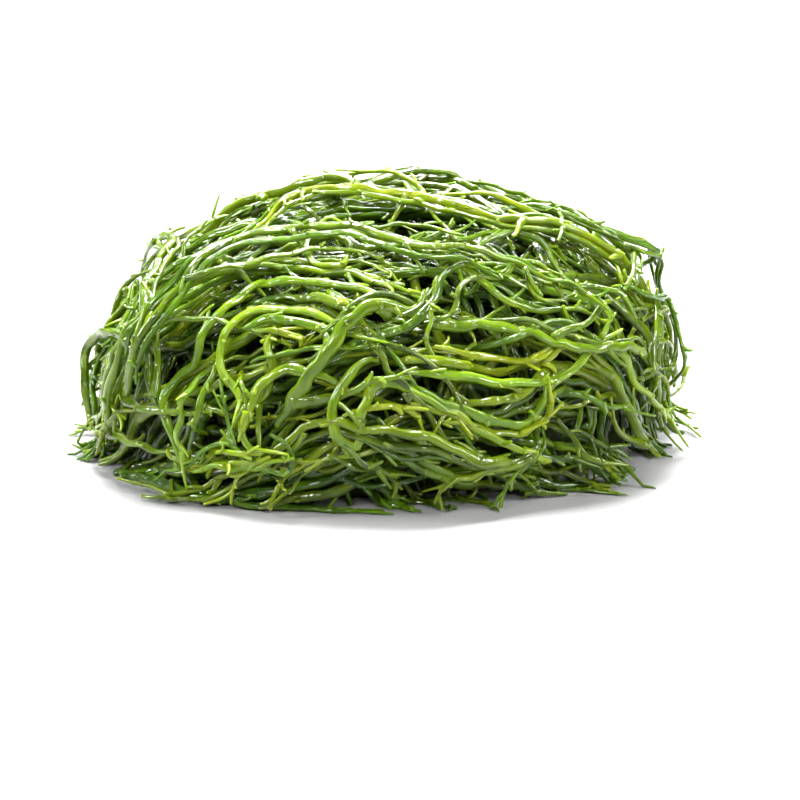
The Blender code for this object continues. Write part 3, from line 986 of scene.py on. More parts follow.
@dataclass
class Rods:
    """Turns the stems of a thallus into fine rods, with wobbles, flares and thorns."""

    mound: Mound
    centre: np.ndarray
    relief: Relief
    lowest: np.ndarray
    highest: np.ndarray

    def of_thallus(self, axes: list[Axis], draw: random.Random) -> list[Rod]:
        """The rods of one thallus.

        Args:
            axes: its stems, the main axis first.
            draw: where its random values come from.

        Returns:
            Its rods, thorns among them.
        """
        rods = []
        main = axes[0]
        kinks = []
        for axis in axes[1:]:
            ahead = main.bends[axis.joint + 1] - main.bends[axis.joint]
            off = axis.bends[1] - axis.bends[0]
            kinks.append((axis.joint, math.copysign(draw.uniform(*self.relief.kink), np.cross(ahead, off))))
        for axis in axes:
            rod = self.of_axis(axis, draw, kinks if axis is main else None)
            rods.append(rod)
            if len(axis.bends) > 2:
                spurs = self.thorns(rod, draw) + self.forks(rod, draw)
                rods.extend(spur for spur in spurs if self.inside(spur))
        return rods

    def inside(self, spur: Rod) -> bool:
        """Whether a spur keeps to the space that the heap may take."""
        return bool((spur.points > self.lowest).all() and (spur.points < self.highest).all())

    def of_axis(self, axis: Axis, draw: random.Random, kinks: Optional[list[tuple[int, float]]]) -> Rod:
        """One stem as a rod, evenly sampled, round at its free ends and flared at its joint.

        Args:
            axis: the stem.
            draw: where its random values come from.
            kinks: for a main axis, how far it juts aside at each bend where another leaves it.

        Returns:
            The rod.
        """
        relief, side = self.relief, kinks is None
        last = len(axis.bends) - 1
        at = np.linspace(0, last, last * relief.samples + 1)
        known = np.column_stack([axis.bends, axis.heights])
        u, v, heights = curved(known, at).T
        radii = np.interp(at, np.arange(last + 1), axis.radii)
        place, _, _, ups = self.mound.frame(u, v)
        points = place + ups * heights[:, None] - self.centre
        if last == 1:
            share = (at / last)[:, None] ** 2
            across = np.cross(unit(points[-1:] - points[:1]), ups)
            points = points + ups * share * draw.uniform(*relief.spur_lift)
            points = points + across * share * draw.uniform(*relief.spur_bow)
        ways = np.concatenate([[0], np.cumsum(np.linalg.norm(np.diff(points, axis=0), axis=1))])
        joints = [(np.interp(joint, at, ways), jut) for joint, jut in kinks or []]
        lengths, ends = self.sampled(ways[-1], radii[0], radii[-1], side)
        points, ups = (np.column_stack([np.interp(lengths, ways, c) for c in a.T]) for a in (points, ups))
        radii = np.interp(lengths, ways, radii)
        rod = Rod(points, unit(ups), radii, lengths, lengths / ways[-1])
        _, aside, up = rod.directions()
        fade = np.minimum(1, lengths / relief.wobble_run) if side else 1
        sway = self.waves(lengths, draw, relief.wobble_waves) * relief.wobble * fade
        lift = self.waves(lengths, draw, relief.wobble_waves) * relief.wobble * fade * relief.wobble_lift
        for place, jut in joints:
            sway = sway + jut * np.maximum(0, 1 - np.abs(lengths - place) / relief.kink_run)
        rod.points = points + aside * sway[:, None] + up * lift[:, None]
        lumps = relief.stoutness + relief.lumpiness * self.waves(lengths, draw, relief.lump_waves)
        lumps = lumps + relief.knots * self.waves(lengths, draw, relief.knot_waves)
        if side:
            lumps = lumps + relief.flare * np.exp(-lengths / relief.flare_run)
        else:
            lumps = lumps * (1 - relief.root * np.exp(-((lengths / relief.root_run) ** 2)))
        rod.radii = np.clip(radii * lumps, relief.least, relief.most) * ends
        rod.points[:, 2] = np.maximum(rod.points[:, 2], rod.radii + relief.table_gap)
        return rod

    def sampled(self, length: float, first: float, last: float, side: bool) -> tuple[np.ndarray, np.ndarray]:
        """Where a rod of some length has its rings.

        Args:
            length: the rod's length.
            first: its radius at the start.
            last: its radius at the end.
            side: whether its start is hidden in another rod.

        Returns:
            The lengths along it, and each ring's share of the rod's radius there.
        """
        round_off = 1 - np.cos(np.radians(self.relief.end_rings))
        tip = self.relief.end_stretch * last
        start = np.array([0.0]) if side else first * round_off
        end = length - tip * round_off[::-1]
        inner = length - start[-1] - tip
        middle = np.linspace(start[-1], end[0], max(2, round(inner / self.relief.spacing)) + 1)
        lengths = np.concatenate([start, middle[1:-1], end])
        shares = self.rounded((length - lengths) / tip)
        if not side:
            shares = shares * self.rounded(lengths / first)
        return lengths, shares

    def rounded(self, inward: np.ndarray) -> np.ndarray:
        """A round end's share of the full radius, so far inward from its tip as shares of its depth."""
        return np.sqrt(np.clip(1 - (1 - np.minimum(inward, 1)) ** 2, self.relief.end_square, 1))

    def waves(self, lengths: np.ndarray, draw: random.Random, wave: Range) -> np.ndarray:
        """An uneven wave along a rod.

        Args:
            lengths: the rings' places along the rod.
            draw: where its random values come from.
            wave: the range of its wavelengths.

        Returns:
            Its value at each ring, mostly within 1 either way.
        """
        total = np.zeros(len(lengths))
        for weight in self.relief.wave_weights:
            total += weight * np.sin(lengths / draw.uniform(*wave) * math.tau + draw.uniform(0, math.tau))
        return total

    def thorns(self, rod: Rod, draw: random.Random) -> list[Rod]:
        """The short fine spurs that stand out of a rod at uneven gaps.

        Args:
            rod: what they grow from.
            draw: where their random values come from.

        Returns:
            The spurs.
        """
        relief = self.relief
        found = []
        place = draw.uniform(*relief.thorn_gap) / 2
        while place < rod.lengths[-1] - relief.thorn_end:
            round_way = draw.gauss(0, relief.thorn_scatter) + draw.choice([0, math.pi])
            length, share = draw.uniform(*relief.thorn_length), draw.uniform(*relief.thorn_share)
            lean = draw.uniform(*relief.thorn_angle)
            found.append(self.spur(rod, place, round_way, length, share, lean, draw))
            place += draw.uniform(*relief.thorn_gap)
        return found

    def forks(self, rod: Rod, draw: random.Random) -> list[Rod]:
        """The longer side tips, like an antler's, that stand close together near a rod's end.

        Args:
            rod: what they grow from.
            draw: where their random values come from.

        Returns:
            The side tips.
        """
        relief = self.relief
        found = []
        side = draw.choice([0, math.pi])
        for back in relief.fork_places:
            place = rod.lengths[-1] - back * draw.uniform(*relief.fork_shift)
            side = math.pi - side
            if place > 0 and draw.random() < relief.fork_chance:
                length, share = draw.uniform(*relief.fork_length), draw.uniform(*relief.fork_share)
                lean = draw.uniform(*relief.fork_angle)
                round_way = side + draw.gauss(0, relief.fork_scatter)
                found.append(self.spur(rod, place, round_way, length, share, lean, draw))
        return found

    def spur(
        self,
        rod: Rod,
        place: float,
        round_way: float,
        length: float,
        share: float,
        lean: float,
        draw: random.Random,
    ) -> Rod:
        """One short stem that stands out of a rod and bows forward.

        Args:
            rod: what it grows from.
            place: how far along the rod.
            round_way: on which side of the rod, 0 being its right and pi its left.
            length: its length.
            share: its radius, as a share of the rod's there.
            lean: its angle to the rod.
            draw: where its random values come from.

        Returns:
            The spur.
        """
        relief = self.relief
        ahead, aside, up = rod.directions()
        ring = int(np.searchsorted(rod.lengths, place))
        out = aside[ring] * math.cos(round_way) + up[ring] * abs(math.sin(round_way))
        way = ahead[ring] * math.cos(lean) + out * math.sin(lean)
        along = np.array([*np.linspace(0, relief.spur_last_ring, SPUR_RINGS - 1), 1.0])
        curl, rise = draw.uniform(*relief.spur_curl), draw.uniform(*relief.spur_rise)
        bow = (ahead[ring] * curl + up[ring] * rise) * length
        points = rod.points[ring] + way * length * along[:, None] + bow * along[:, None] ** 2
        root = max(rod.radii[ring] * share, relief.spur_tip)
        radii = relief.spur_tip + (root - relief.spur_tip) * (1 - along) ** relief.spur_taper
        radii = radii * (1 + relief.flare * np.exp(-along * length / relief.flare_run * relief.spur_flare))
        radii[-1] = radii[-1] * relief.spur_end
        points[:, 2] = np.maximum(points[:, 2], radii + relief.table_gap)
        ups = np.broadcast_to(np.cross(way, aside[ring] + relief.spur_tilt * up[ring]), points.shape)
        youth = np.interp(along, [0, 1], [rod.youth[ring], 1])
        return Rod(points, unit(ups), radii, along * length, youth)


@dataclass
class StrandMesh:
    """Collects rods as tubes and makes one piece of them."""

    name: str
    relief: Relief
    draw: random.Random
    grain_reach: float = 1000.0

    def __post_init__(self) -> None:
        """Starts with nothing collected."""
        self.points: list[np.ndarray] = []
        self.corners: list[np.ndarray] = []
        self.sizes: list[np.ndarray] = []
        self.grain: list[np.ndarray] = []
        self.tone: list[np.ndarray] = []
        self.count = 0

    def add(self, rods: list[Rod], tone: float) -> None:
        """Adds the rods of one thallus.

        Args:
            rods: the thallus's rods.
            tone: how light its green is, from 0 to 1.
        """
        offset, hue = self.draw.uniform(0, self.grain_reach) * MM, self.draw.uniform(-1, 1)
        for rod in rods:
            thorn = len(rod.lengths) == SPUR_RINGS
            self.add_tube(rod, tone, hue, offset, self.relief.spur_sides if thorn else self.relief.sides)

    def add_tube(self, rod: Rod, tone: float, hue: float, offset: float, sides: int) -> None:
        """Adds one rod as a closed tube.

        Args:
            rod: the rod.
            tone: how light its green is, from 0 to 1.
            hue: how yellow its green is, from -1 to 1.
            offset: where along the pattern of streaks it starts.
            sides: how many sides the tube has.
        """
        _, aside, up = rod.directions()
        rings = len(rod.lengths)
        angle = np.arange(sides) * math.tau / sides
        radius = rod.radii[:, None] * (1 + self.swell(rod, angle[None, :]))
        across, over = radius * np.cos(angle), radius * np.sin(angle)
        points = rod.points[:, None] + aside[:, None] * across[..., None] + up[:, None] * over[..., None]
        points[..., 2] = np.maximum(points[..., 2], self.relief.table_gap)
        first = self.count + np.arange(rings - 1)[:, None] * sides
        side, after = np.arange(sides)[None, :], (np.arange(sides)[None, :] + 1) % sides
        quads = np.stack([first + side, first + after, first + sides + after, first + sides + side], axis=-1)
        start_cap = self.count + np.arange(sides)[::-1]
        end_cap = self.count + (rings - 1) * sides + np.arange(sides)
        self.points.append(points.reshape(-1, 3))
        self.corners.append(np.concatenate([quads.reshape(-1), start_cap, end_cap]))
        self.sizes.append(np.array([4] * (quads.size // 4) + [sides, sides]))
        along = np.broadcast_to(rod.lengths[:, None] + offset, across.shape)
        self.grain.append(np.stack([across, over, along], axis=-1).reshape(-1, 3) / MM)
        youth = np.broadcast_to(rod.youth[:, None], across.shape)
        tones = [np.full(across.shape, tone), youth, np.full(across.shape, hue)]
        self.tone.append(np.stack(tones, axis=-1).reshape(-1, 3))
        self.count += rings * sides

    def swell(self, rod: Rod, angle: np.ndarray) -> np.ndarray:
        """How a rod's section differs from a round one: flattened, grooved, and channelled on top.

        Args:
            rod: the rod.
            angle: the turns round the rod, in one row.

        Returns:
            What is added to the radius of each ring at each turn, as a share of it.
        """
        relief = self.relief
        flat = self.draw.uniform(*relief.flatness)
        slow = rod.lengths / relief.flat_run + self.draw.uniform(0, math.tau)
        turn = (self.draw.gauss(0, relief.flat_scatter) + relief.flat_sway * np.sin(slow))[:, None]
        groove = self.draw.uniform(*relief.groove)
        swell = flat * np.cos(2 * (angle - turn)) + groove * np.cos(3 * angle + relief.groove_turn * turn)
        depth = relief.channel_least + relief.channel_swing * np.sin(relief.channel_pace * slow)
        channel = self.draw.uniform(*relief.channel) * depth[:, None]
        on_top = np.maximum(0, np.cos(angle - math.pi / 2 - relief.channel_turn * turn))
        return swell - channel * on_top**relief.channel_power

    def finish(self, material: bpy.types.Material, slot: Slot, nodes: list[str]) -> None:
        """Makes the piece, dresses it and lets it stand for its CAD nodes.

        Args:
            material: its finish.
            slot: the record's material slot that it belongs to; not used.
            nodes: the CAD nodes that it replaces.
        """
        mesh = bpy.data.meshes.new(self.name)
        points, corners, sizes = (np.concatenate(a) for a in (self.points, self.corners, self.sizes))
        mesh.vertices.add(len(points))
        mesh.loops.add(len(corners))
        mesh.polygons.add(len(sizes))
        mesh.vertices.foreach_set("co", points.ravel())
        mesh.loops.foreach_set("vertex_index", corners.astype(np.int32))
        mesh.polygons.foreach_set("loop_start", np.concatenate([[0], np.cumsum(sizes)[:-1]]).astype(np.int32))
        grain = mesh.attributes.new("grain", "FLOAT_VECTOR", "POINT")
        grain.data.foreach_set("vector", np.concatenate(self.grain).astype(np.float32).ravel())
        tone = mesh.attributes.new("tone", "FLOAT_VECTOR", "POINT")
        tone.data.foreach_set("vector", np.concatenate(self.tone).astype(np.float32).ravel())
        mesh.update(calc_edges=True)
        mesh.shade_smooth()
        mesh.materials.append(material)
        piece = bpy.data.objects.new(self.name, mesh)
        bpy.context.scene.collection.objects.link(piece)
        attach(piece, "root")
        if nodes:
            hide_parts(*nodes)
        log.info("%s: %d triangles", self.name, int((sizes - 2).sum()))


@dataclass(frozen=True)
class Course:
    """The way of one strand over the front, as seen from the photo's angle, from its thick end on.

    The radius is in millimetres, and so are the places, each of which is how far right of the aim and how
    far over it. The mates are the ranks of the strands that cling to it.
    """

    radius: float
    tone: float
    mates: tuple[int, ...]
    places: tuple[Range, ...]


FRONT_COURSES = (
    Course(1.3, 0.28, (-1,), (
        (28.0, -13.0), (37.0, -15.0), (45.0, -16.0), (53.0, -17.5), (60.0, -20.0),
    )),
    Course(1.1, 0.34, (1,), (
        (33.0, -18.5), (42.0, -18.5), (50.0, -19.5), (57.0, -21.5),
    )),
    Course(1.2, 0.32, (1,), (
        (38.0, -7.0), (45.0, -8.5), (51.0, -11.0), (57.0, -14.5), (63.0, -18.5),
    )),
    Course(1.0, 0.38, (), (
        (43.0, -5.0), (46.0, -10.0), (48.5, -15.0), (54.0, -19.5), (59.0, -22.0),
    )),
    Course(1.3, 0.32, (), (
        (52.8, 26.3), (58.0, 21.7), (62.6, 16.5), (64.2, 10.3), (66.3, 4.6),
    )),
    Course(1.0, 0.42, (), (
        (65.0, 26.3), (65.3, 20.1), (64.8, 13.9), (63.9, 8.3), (63.2, 3.6),
    )),
    Course(0.95, 0.45, (), (
        (71.9, 23.2), (73.5, 16.5), (72.5, 9.8), (70.9, 3.6), (71.4, -1.6),
    )),
    Course(1.05, 0.52, (), (
        (55.9, 30.5), (60.1, 27.5), (64.7, 25.8), (68.3, 25.6), (71.7, 21.2), (73.7, 15.5),
        (75.0, 10.8), (77.9, 6.2), (80.7, 2.1),
    )),
    Course(1.0, 0.4, (1,), (
        (35.9, -4.1), (35.6, -9.1), (32.8, -12.9), (29.6, -17.1), (28.4, -22.1), (27.9, -25.8),
    )),
    Course(1.2, 0.36, (1,), (
        (-19.3, -14.0), (-11.9, -16.8), (-4.4, -19.9), (1.2, -23.7),
    )),
    Course(1.3, 0.44, (1,), (
        (-9.4, -10.3), (-1.3, -14.0), (4.9, -18.4), (11.7, -21.5), (18.5, -24.3),
    )),
    Course(1.3, 0.42, (-1,), (
        (-11.2, -7.8), (-5.0, -10.6), (1.8, -12.2), (8.0, -11.7), (15.4, -13.9), (23.5, -15.6),
    )),
    Course(1.1, 0.5, (), (
        (37.3, -1.3), (43.5, 1.5), (49.2, 1.1), (53.9, -1.6), (58.5, -1.0),
    )),
    Course(1.35, 0.42, (), (
        (-67.5, 13.9), (-72.9, 16.2), (-77.4, 16.5), (-80.8, 13.9), (-82.3, 9.0), (-82.1, 2.9),
        (-81.6, -3.6), (-80.8, -9.6),
    )),
    Course(1.2, 0.5, (), (
        (-66.0, 12.4), (-71.3, 12.7), (-75.9, 10.8), (-78.5, 7.1), (-79.3, 2.5), (-79.7, -2.8),
        (-79.3, -7.7),
    )),
    Course(0.95, 0.52, (), (
        (-67.5, 15.4), (-69.1, 9.3), (-71.3, 4.8), (-73.6, 1.0), (-76.6, -2.4), (-78.9, -6.2),
        (-79.3, -10.4),
    )),
    Course(0.75, 0.62, (), (
        (-74.7, 10.8), (-74.4, 5.5), (-74.0, 1.0), (-72.9, -2.4), (-70.6, -4.7),
    )),
    Course(1.2, 0.44, (), (
        (-67.5, -2.0), (-71.3, -3.2), (-74.7, -6.2), (-77.0, -9.6), (-77.8, -13.8),
    )),
    Course(1.0, 0.52, (), (
        (-49.4, 13.1), (-49.5, 7.8), (-50.7, 2.9), (-51.6, -2.0), (-53.1, -6.6), (-53.9, -10.4),
    )),
    Course(1.15, 0.62, (), (
        (-51.3, 10.1), (-53.3, 5.2), (-55.2, 1.0), (-56.4, -3.6), (-56.7, -8.5), (-56.2, -13.0),
        (-55.4, -16.4),
    )),
    Course(1.1, 0.7, (), (
        (-53.1, -20.6), (-49.7, -18.0), (-44.4, -16.1), (-38.7, -15.7), (-33.4, -14.2),
    )),
    Course(1.4, 0.46, (1,), (
        (-33.5, 26.6), (-26.1, 25.9), (-19.3, 24.5), (-14.3, 21.9), (-10.6, 18.8), (-8.8, 15.7),
    )),
    Course(1.4, 0.56, (-1,), (
        (-40.7, 17.4), (-33.5, 19.7), (-24.2, 18.5), (-16.8, 16.2), (-10.0, 15.6),
    )),
    Course(0.95, 0.46, (), (
        (-39.1, 8.9), (-32.3, 10.7), (-24.9, 12.2), (-19.3, 12.5), (-13.1, 12.5), (-5.7, 13.2),
    )),
    Course(1.5, 0.66, (), (
        (-14.3, 17.4), (-19.3, 19.7), (-26.1, 21.9), (-33.5, 22.6), (-40.4, 20.7), (-45.3, 15.7),
        (-47.3, 10.1), (-45.9, 5.2), (-42.2, 0.8), (-40.7, -2.9),
    )),
    Course(1.1, 0.42, (), (
        (8.0, 18.1), (14.2, 15.8), (22.9, 14.2), (29.1, 15.4), (34.6, 18.3), (39.6, 19.7),
        (44.4, 18.8), (49.2, 16.0), (54.4, 12.9),
    )),
    Course(0.7, 0.45, (), (
        (32.7, 32.5), (33.5, 28.4), (35.8, 24.8), (39.4, 23.9), (43.0, 25.3), (45.2, 27.4),
        (44.8, 29.7),
    )),
    Course(1.5, 0.42, (1,), (
        (-21.8, 6.7), (-16.8, 11.2), (-11.2, 14.2), (-5.0, 15.7), (1.5, 18.1), (5.5, 21.3),
        (8.6, 25.6), (11.1, 30.1), (15.3, 32.9), (19.5, 32.6), (21.3, 30.3),
    )),
    Course(0.95, 0.44, (), (
        (5.5, 18.8), (10.5, 19.7), (14.1, 22.5), (15.3, 27.8), (19.1, 30.3), (25.6, 30.1),
        (30.1, 33.3), (34.2, 34.2), (37.8, 31.8), (40.0, 28.4), (42.0, 25.0),
    )),
    Course(0.6, 0.55, (), (
        (9.5, 30.0), (8.1, 23.8), (7.1, 18.8), (6.2, 14.5), (8.1, 10.9), (11.7, 10.0), (15.7, 11.9),
        (20.7, 15.2),
    )),
    Course(1.25, 0.64, (1,), (
        (-2.6, 10.0), (5.5, 10.0), (14.2, 9.0), (24.1, 8.3), (30.5, 8.3), (36.3, 9.9), (42.0, 13.8),
    )),
    Course(1.35, 0.7, (), (
        (0.5, 6.5), (8.0, 7.0), (14.2, 5.6), (21.5, 5.2), (28.0, 4.5), (33.7, 4.2), (39.4, 5.7),
        (44.3, 8.0), (47.7, 11.5), (50.0, 15.0), (52.3, 18.6),
    )),
    Course(1.25, 0.68, (), (
        (48.7, 13.4), (52.8, 13.7), (58.0, 9.9), (62.6, 3.9), (67.0, -0.0), (70.6, -3.4), (73.0, -7.0),
    )),
    Course(0.6, 0.52, (), (
        (61.1, 7.2), (64.2, 7.7), (67.0, 5.7), (68.6, 1.8), (70.1, 1.0), (71.3, 4.6), (73.5, 9.8),
    )),
    Course(0.95, 0.56, (), (
        (-15.6, -4.3), (-10.6, -2.3), (-4.4, -1.6), (1.8, -3.0), (6.1, -6.1),
    )),
    Course(1.6, 0.6, (), (
        (-16.2, 3.8), (-23.0, 6.7), (-30.4, 7.0), (-36.0, 3.3), (-39.4, -2.3), (-40.7, -7.5),
        (-39.1, -11.4), (-34.8, -12.9),
    )),
    Course(0.85, 0.52, (), (
        (-42.5, 6.7), (-40.1, 3.3), (-39.4, -0.4), (-40.7, -5.1),
    )),
    Course(1.15, 0.74, (), (
        (-47.8, -13.5), (-42.8, -12.9), (-35.4, -13.7),
    )),
    Course(1.0, 0.62, (), (
        (-54.6, -20.9), (-50.3, -18.1), (-44.7, -17.1), (-38.5, -17.5), (-32.9, -15.6), (-27.3, -14.0),
    )),
    Course(1.45, 0.57, (-1,), (
        (-0.1, 3.9), (6.7, 0.8), (14.2, -1.8), (20.4, -4.3), (26.6, -6.0), (32.5, -5.5), (35.9, -2.3),
        (37.7, 2.6), (40.2, 6.1),
    )),
    Course(1.3, 0.64, (), (
        (-5.7, 9.7), (-11.2, 8.6), (-14.8, 3.9), (-17.6, -0.4), (-18.0, -4.7), (-16.1, -8.8),
        (-13.1, -12.2), (-11.4, -11.4), (-10.6, -4.1), (-8.4, 1.6), (-4.4, 3.8), (1.2, 2.6),
        (6.7, -0.4), (12.9, -3.2), (18.5, -6.9), (25.3, -10.3), (32.8, -13.4), (38.4, -15.3),
    )),
    Course(0.85, 0.6, (), (
        (11.7, -2.9), (8.6, -6.3), (12.9, -5.7), (17.9, -6.5),
    )),
    Course(1.4, 0.66, (), (
        (-56.2, -15.7), (-57.1, -12.3), (-59.2, -7.7), (-60.7, -3.2), (-60.5, 1.0), (-59.2, 5.5),
        (-56.6, 9.0), (-52.2, 13.1), (-48.8, 19.0), (-42.9, 24.9), (-38.4, 29.6), (-36.0, 29.2),
        (-28.0, 28.8), (-19.3, 28.4), (-11.2, 27.0), (-6.0, 24.9), (-1.3, 21.6),
    )),
    Course(1.2, 0.46, (1,), (
        (-13.0, 60.5), (0.0, 58.3), (10.8, 57.0), (21.6, 54.8), (32.4, 51.8), (43.2, 49.7),
        (51.8, 45.6), (57.2, 41.0), (59.4, 37.3), (59.4, 32.9), (57.2, 27.0),
    )),
    Course(0.7, 0.46, (), (
        (39.2, 50.2), (41.0, 47.0), (41.6, 43.2), (40.5, 38.9),
    )),
    Course(1.2, 0.4, (), (
        (-44.6, 48.1), (-37.3, 50.8), (-29.7, 52.4), (-21.6, 51.3), (-13.5, 48.1),
    )),
    Course(1.0, 0.5, (), (
        (-21.6, 52.7), (-14.9, 56.7), (-5.4, 57.2), (2.7, 54.0), (8.1, 48.1), (18.9, 45.4),
    )),
    Course(1.1, 0.46, (), (
        (-40.5, 40.5), (-29.7, 44.3), (-18.9, 42.1), (-8.1, 37.3), (5.4, 38.9), (14.9, 43.2),
    )),
    Course(0.9, 0.56, (), (
        (-27.0, 37.3), (-18.9, 40.5), (-13.0, 37.3), (-15.7, 32.4), (-22.1, 33.5), (-24.3, 38.3),
        (-18.9, 44.3), (-7.6, 45.4),
    )),
    Course(1.1, 0.48, (), (
        (18.9, 37.3), (28.4, 41.6), (37.8, 38.9), (44.8, 31.9), (54.0, 28.1), (62.6, 18.9),
    )),
    Course(1.0, 0.42, (), (
        (-67.5, 22.1), (-62.6, 29.2), (-55.1, 34.6), (-47.0, 35.6), (-41.0, 31.9), (-37.3, 35.1),
        (-31.1, 40.5),
    )),
)


@dataclass
class Tracer:
    """Finds the map positions at which the mound is seen at given places from the front."""

    mound: Mound
    centre: np.ndarray
    viewpoint: Viewpoint
    level: float = 4.5 * MM
    cell: float = 1.0 * MM
    nudge: float = 0.2 * MM
    turns: int = 4
    most: float = 0.6 * MM
    least_facing: float = 0.12
    fineness: int = 12
    step: float = 3.5 * MM
    least_steps: int = 3

    def __post_init__(self) -> None:
        """Looks up where the map's positions that face the viewpoint are seen."""
        ticks = np.arange(-self.mound.limit, self.mound.limit, self.cell)
        spots = np.stack(np.meshgrid(ticks, ticks), axis=-1).reshape(-1, 2)
        spots = spots[np.hypot(*spots.T) < self.mound.limit]
        here, _, _, normal = self.mound.frame(*spots.T)
        toward = unit(self.viewpoint.place() + self.centre - here)
        facing = (normal * toward).sum(axis=-1) > self.least_facing
        hidden = (here[:, 1] > 0) & (np.hypot(*spots.T) > self.mound.flank_end / 2)
        self.spots = spots[facing & ~hidden]
        self.seen = self.seen_at(self.spots)

    def seen_at(self, spots: np.ndarray) -> np.ndarray:
        """Where the strands on these map positions are seen."""
        place, _, _, normal = self.mound.frame(*spots.T)
        return self.viewpoint.seen(place + normal * self.level - self.centre)

    def found(self, wanted: np.ndarray) -> np.ndarray:
        """The map positions that are seen at these places, or nearest to them.

        Args:
            wanted: how far right of the aim and how far over it, one place to a row.

        Returns:
            A map position for each.
        """
        nearest = [np.argmin(((self.seen - place) ** 2).sum(axis=-1)) for place in wanted]
        spots = self.spots[nearest]
        for _ in range(self.turns):
            here = self.seen_at(spots)
            along_u = (self.seen_at(spots + [self.nudge, 0]) - here) / self.nudge
            along_v = (self.seen_at(spots + [0, self.nudge]) - here) / self.nudge
            step = np.clip(on_map(wanted - here, along_u, along_v), -self.most, self.most)
            nearer = self.miss(spots + step, wanted) < self.miss(spots, wanted)
            spots = np.where(nearer[:, None], spots + step, spots)
        return spots

    def miss(self, spots: np.ndarray, wanted: np.ndarray) -> np.ndarray:
        """How far from the wanted places these map positions are seen."""
        return np.linalg.norm(self.seen_at(spots) - wanted, axis=-1)

    def axis(self, course: Course, habit: Habit) -> Axis:
        """The stem that follows a course.

        Args:
            course: the course.
            habit: how its radius tapers.

        Returns:
            The stem, with no heights as yet.
        """
        places = np.array(course.places) * MM
        fine = curved(places, np.linspace(0, len(places) - 1, self.fineness * len(places)))
        ways = np.concatenate([[0], np.cumsum(np.linalg.norm(np.diff(fine, axis=0), axis=1))])
        even = np.linspace(0, ways[-1], max(self.least_steps, round(ways[-1] / self.step)) + 1)
        bends = self.found(np.column_stack([np.interp(even, ways, c) for c in fine.T]))
        radius = course.radius * MM
        share = np.linspace(0, 1, len(bends)) ** habit.taper_power
        radii = radius + (radius * habit.tip_share - radius) * share
        radii[-1] = habit.tip_radius
        return Axis(bends, radii)


@dataclass
class DarkHeart:
    """The unlit inside of the heap: a dark body under the strands, painted shade that shows only as darkness
    between them.
    """

    mound: Mound
    centre: np.ndarray
    depth: float = 8.5 * MM
    rings: int = 64
    segments: int = 128
    table_gap: float = 0.4 * MM
    ripple: float = 1.2 * MM
    ripple_wave: float = 2.1 * MM
    ripple_bend: float = 2.0
    ripple_bend_wave: float = 13 * MM

    def build(self, material: bpy.types.Material) -> None:
        """Makes the closed lumpy body under the strands.

        Args:
            material: its finish.
        """
        ways = np.linspace(0, self.mound.flank_end, self.rings)[1:]
        turns = np.arange(self.segments) * math.tau / self.segments
        u, v = ways[:, None] * np.cos(turns), ways[:, None] * np.sin(turns)
        place, _, _, normal = self.mound.frame(u, v)
        bend = self.ripple_bend * np.sin(place[..., 0] / self.ripple_bend_wave)
        ripple = np.sin(place[..., 1] / self.ripple_wave + bend) * self.ripple
        points = place - normal * (self.depth + ripple)[..., None] - self.centre
        points[..., 2] = np.maximum(points[..., 2], self.table_gap)
        foot = points[-1].copy()
        foot[:, 2] = self.table_gap
        points = np.concatenate([points, foot[None]]).reshape(-1, 3)
        rows = len(points) // self.segments
        first = np.arange(rows - 1)[:, None] * self.segments
        side = np.arange(self.segments)[None, :]
        after = (side + 1) % self.segments
        below = first + self.segments
        quads = np.stack([first + side, below + side, below + after, first + after], axis=-1)
        crown = list(range(self.segments))
        floor = [(rows - 1) * self.segments + k for k in reversed(range(self.segments))]
        mesh = bpy.data.meshes.new("dark_heart")
        mesh.from_pydata(points.tolist(), [], quads.reshape(-1, 4).tolist() + [crown, floor])
        mesh.shade_smooth()
        mesh.materials.append(material)
        piece = bpy.data.objects.new("dark_heart", mesh)
        bpy.context.scene.collection.objects.link(piece)
        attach(piece, "root")
        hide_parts("tangle")


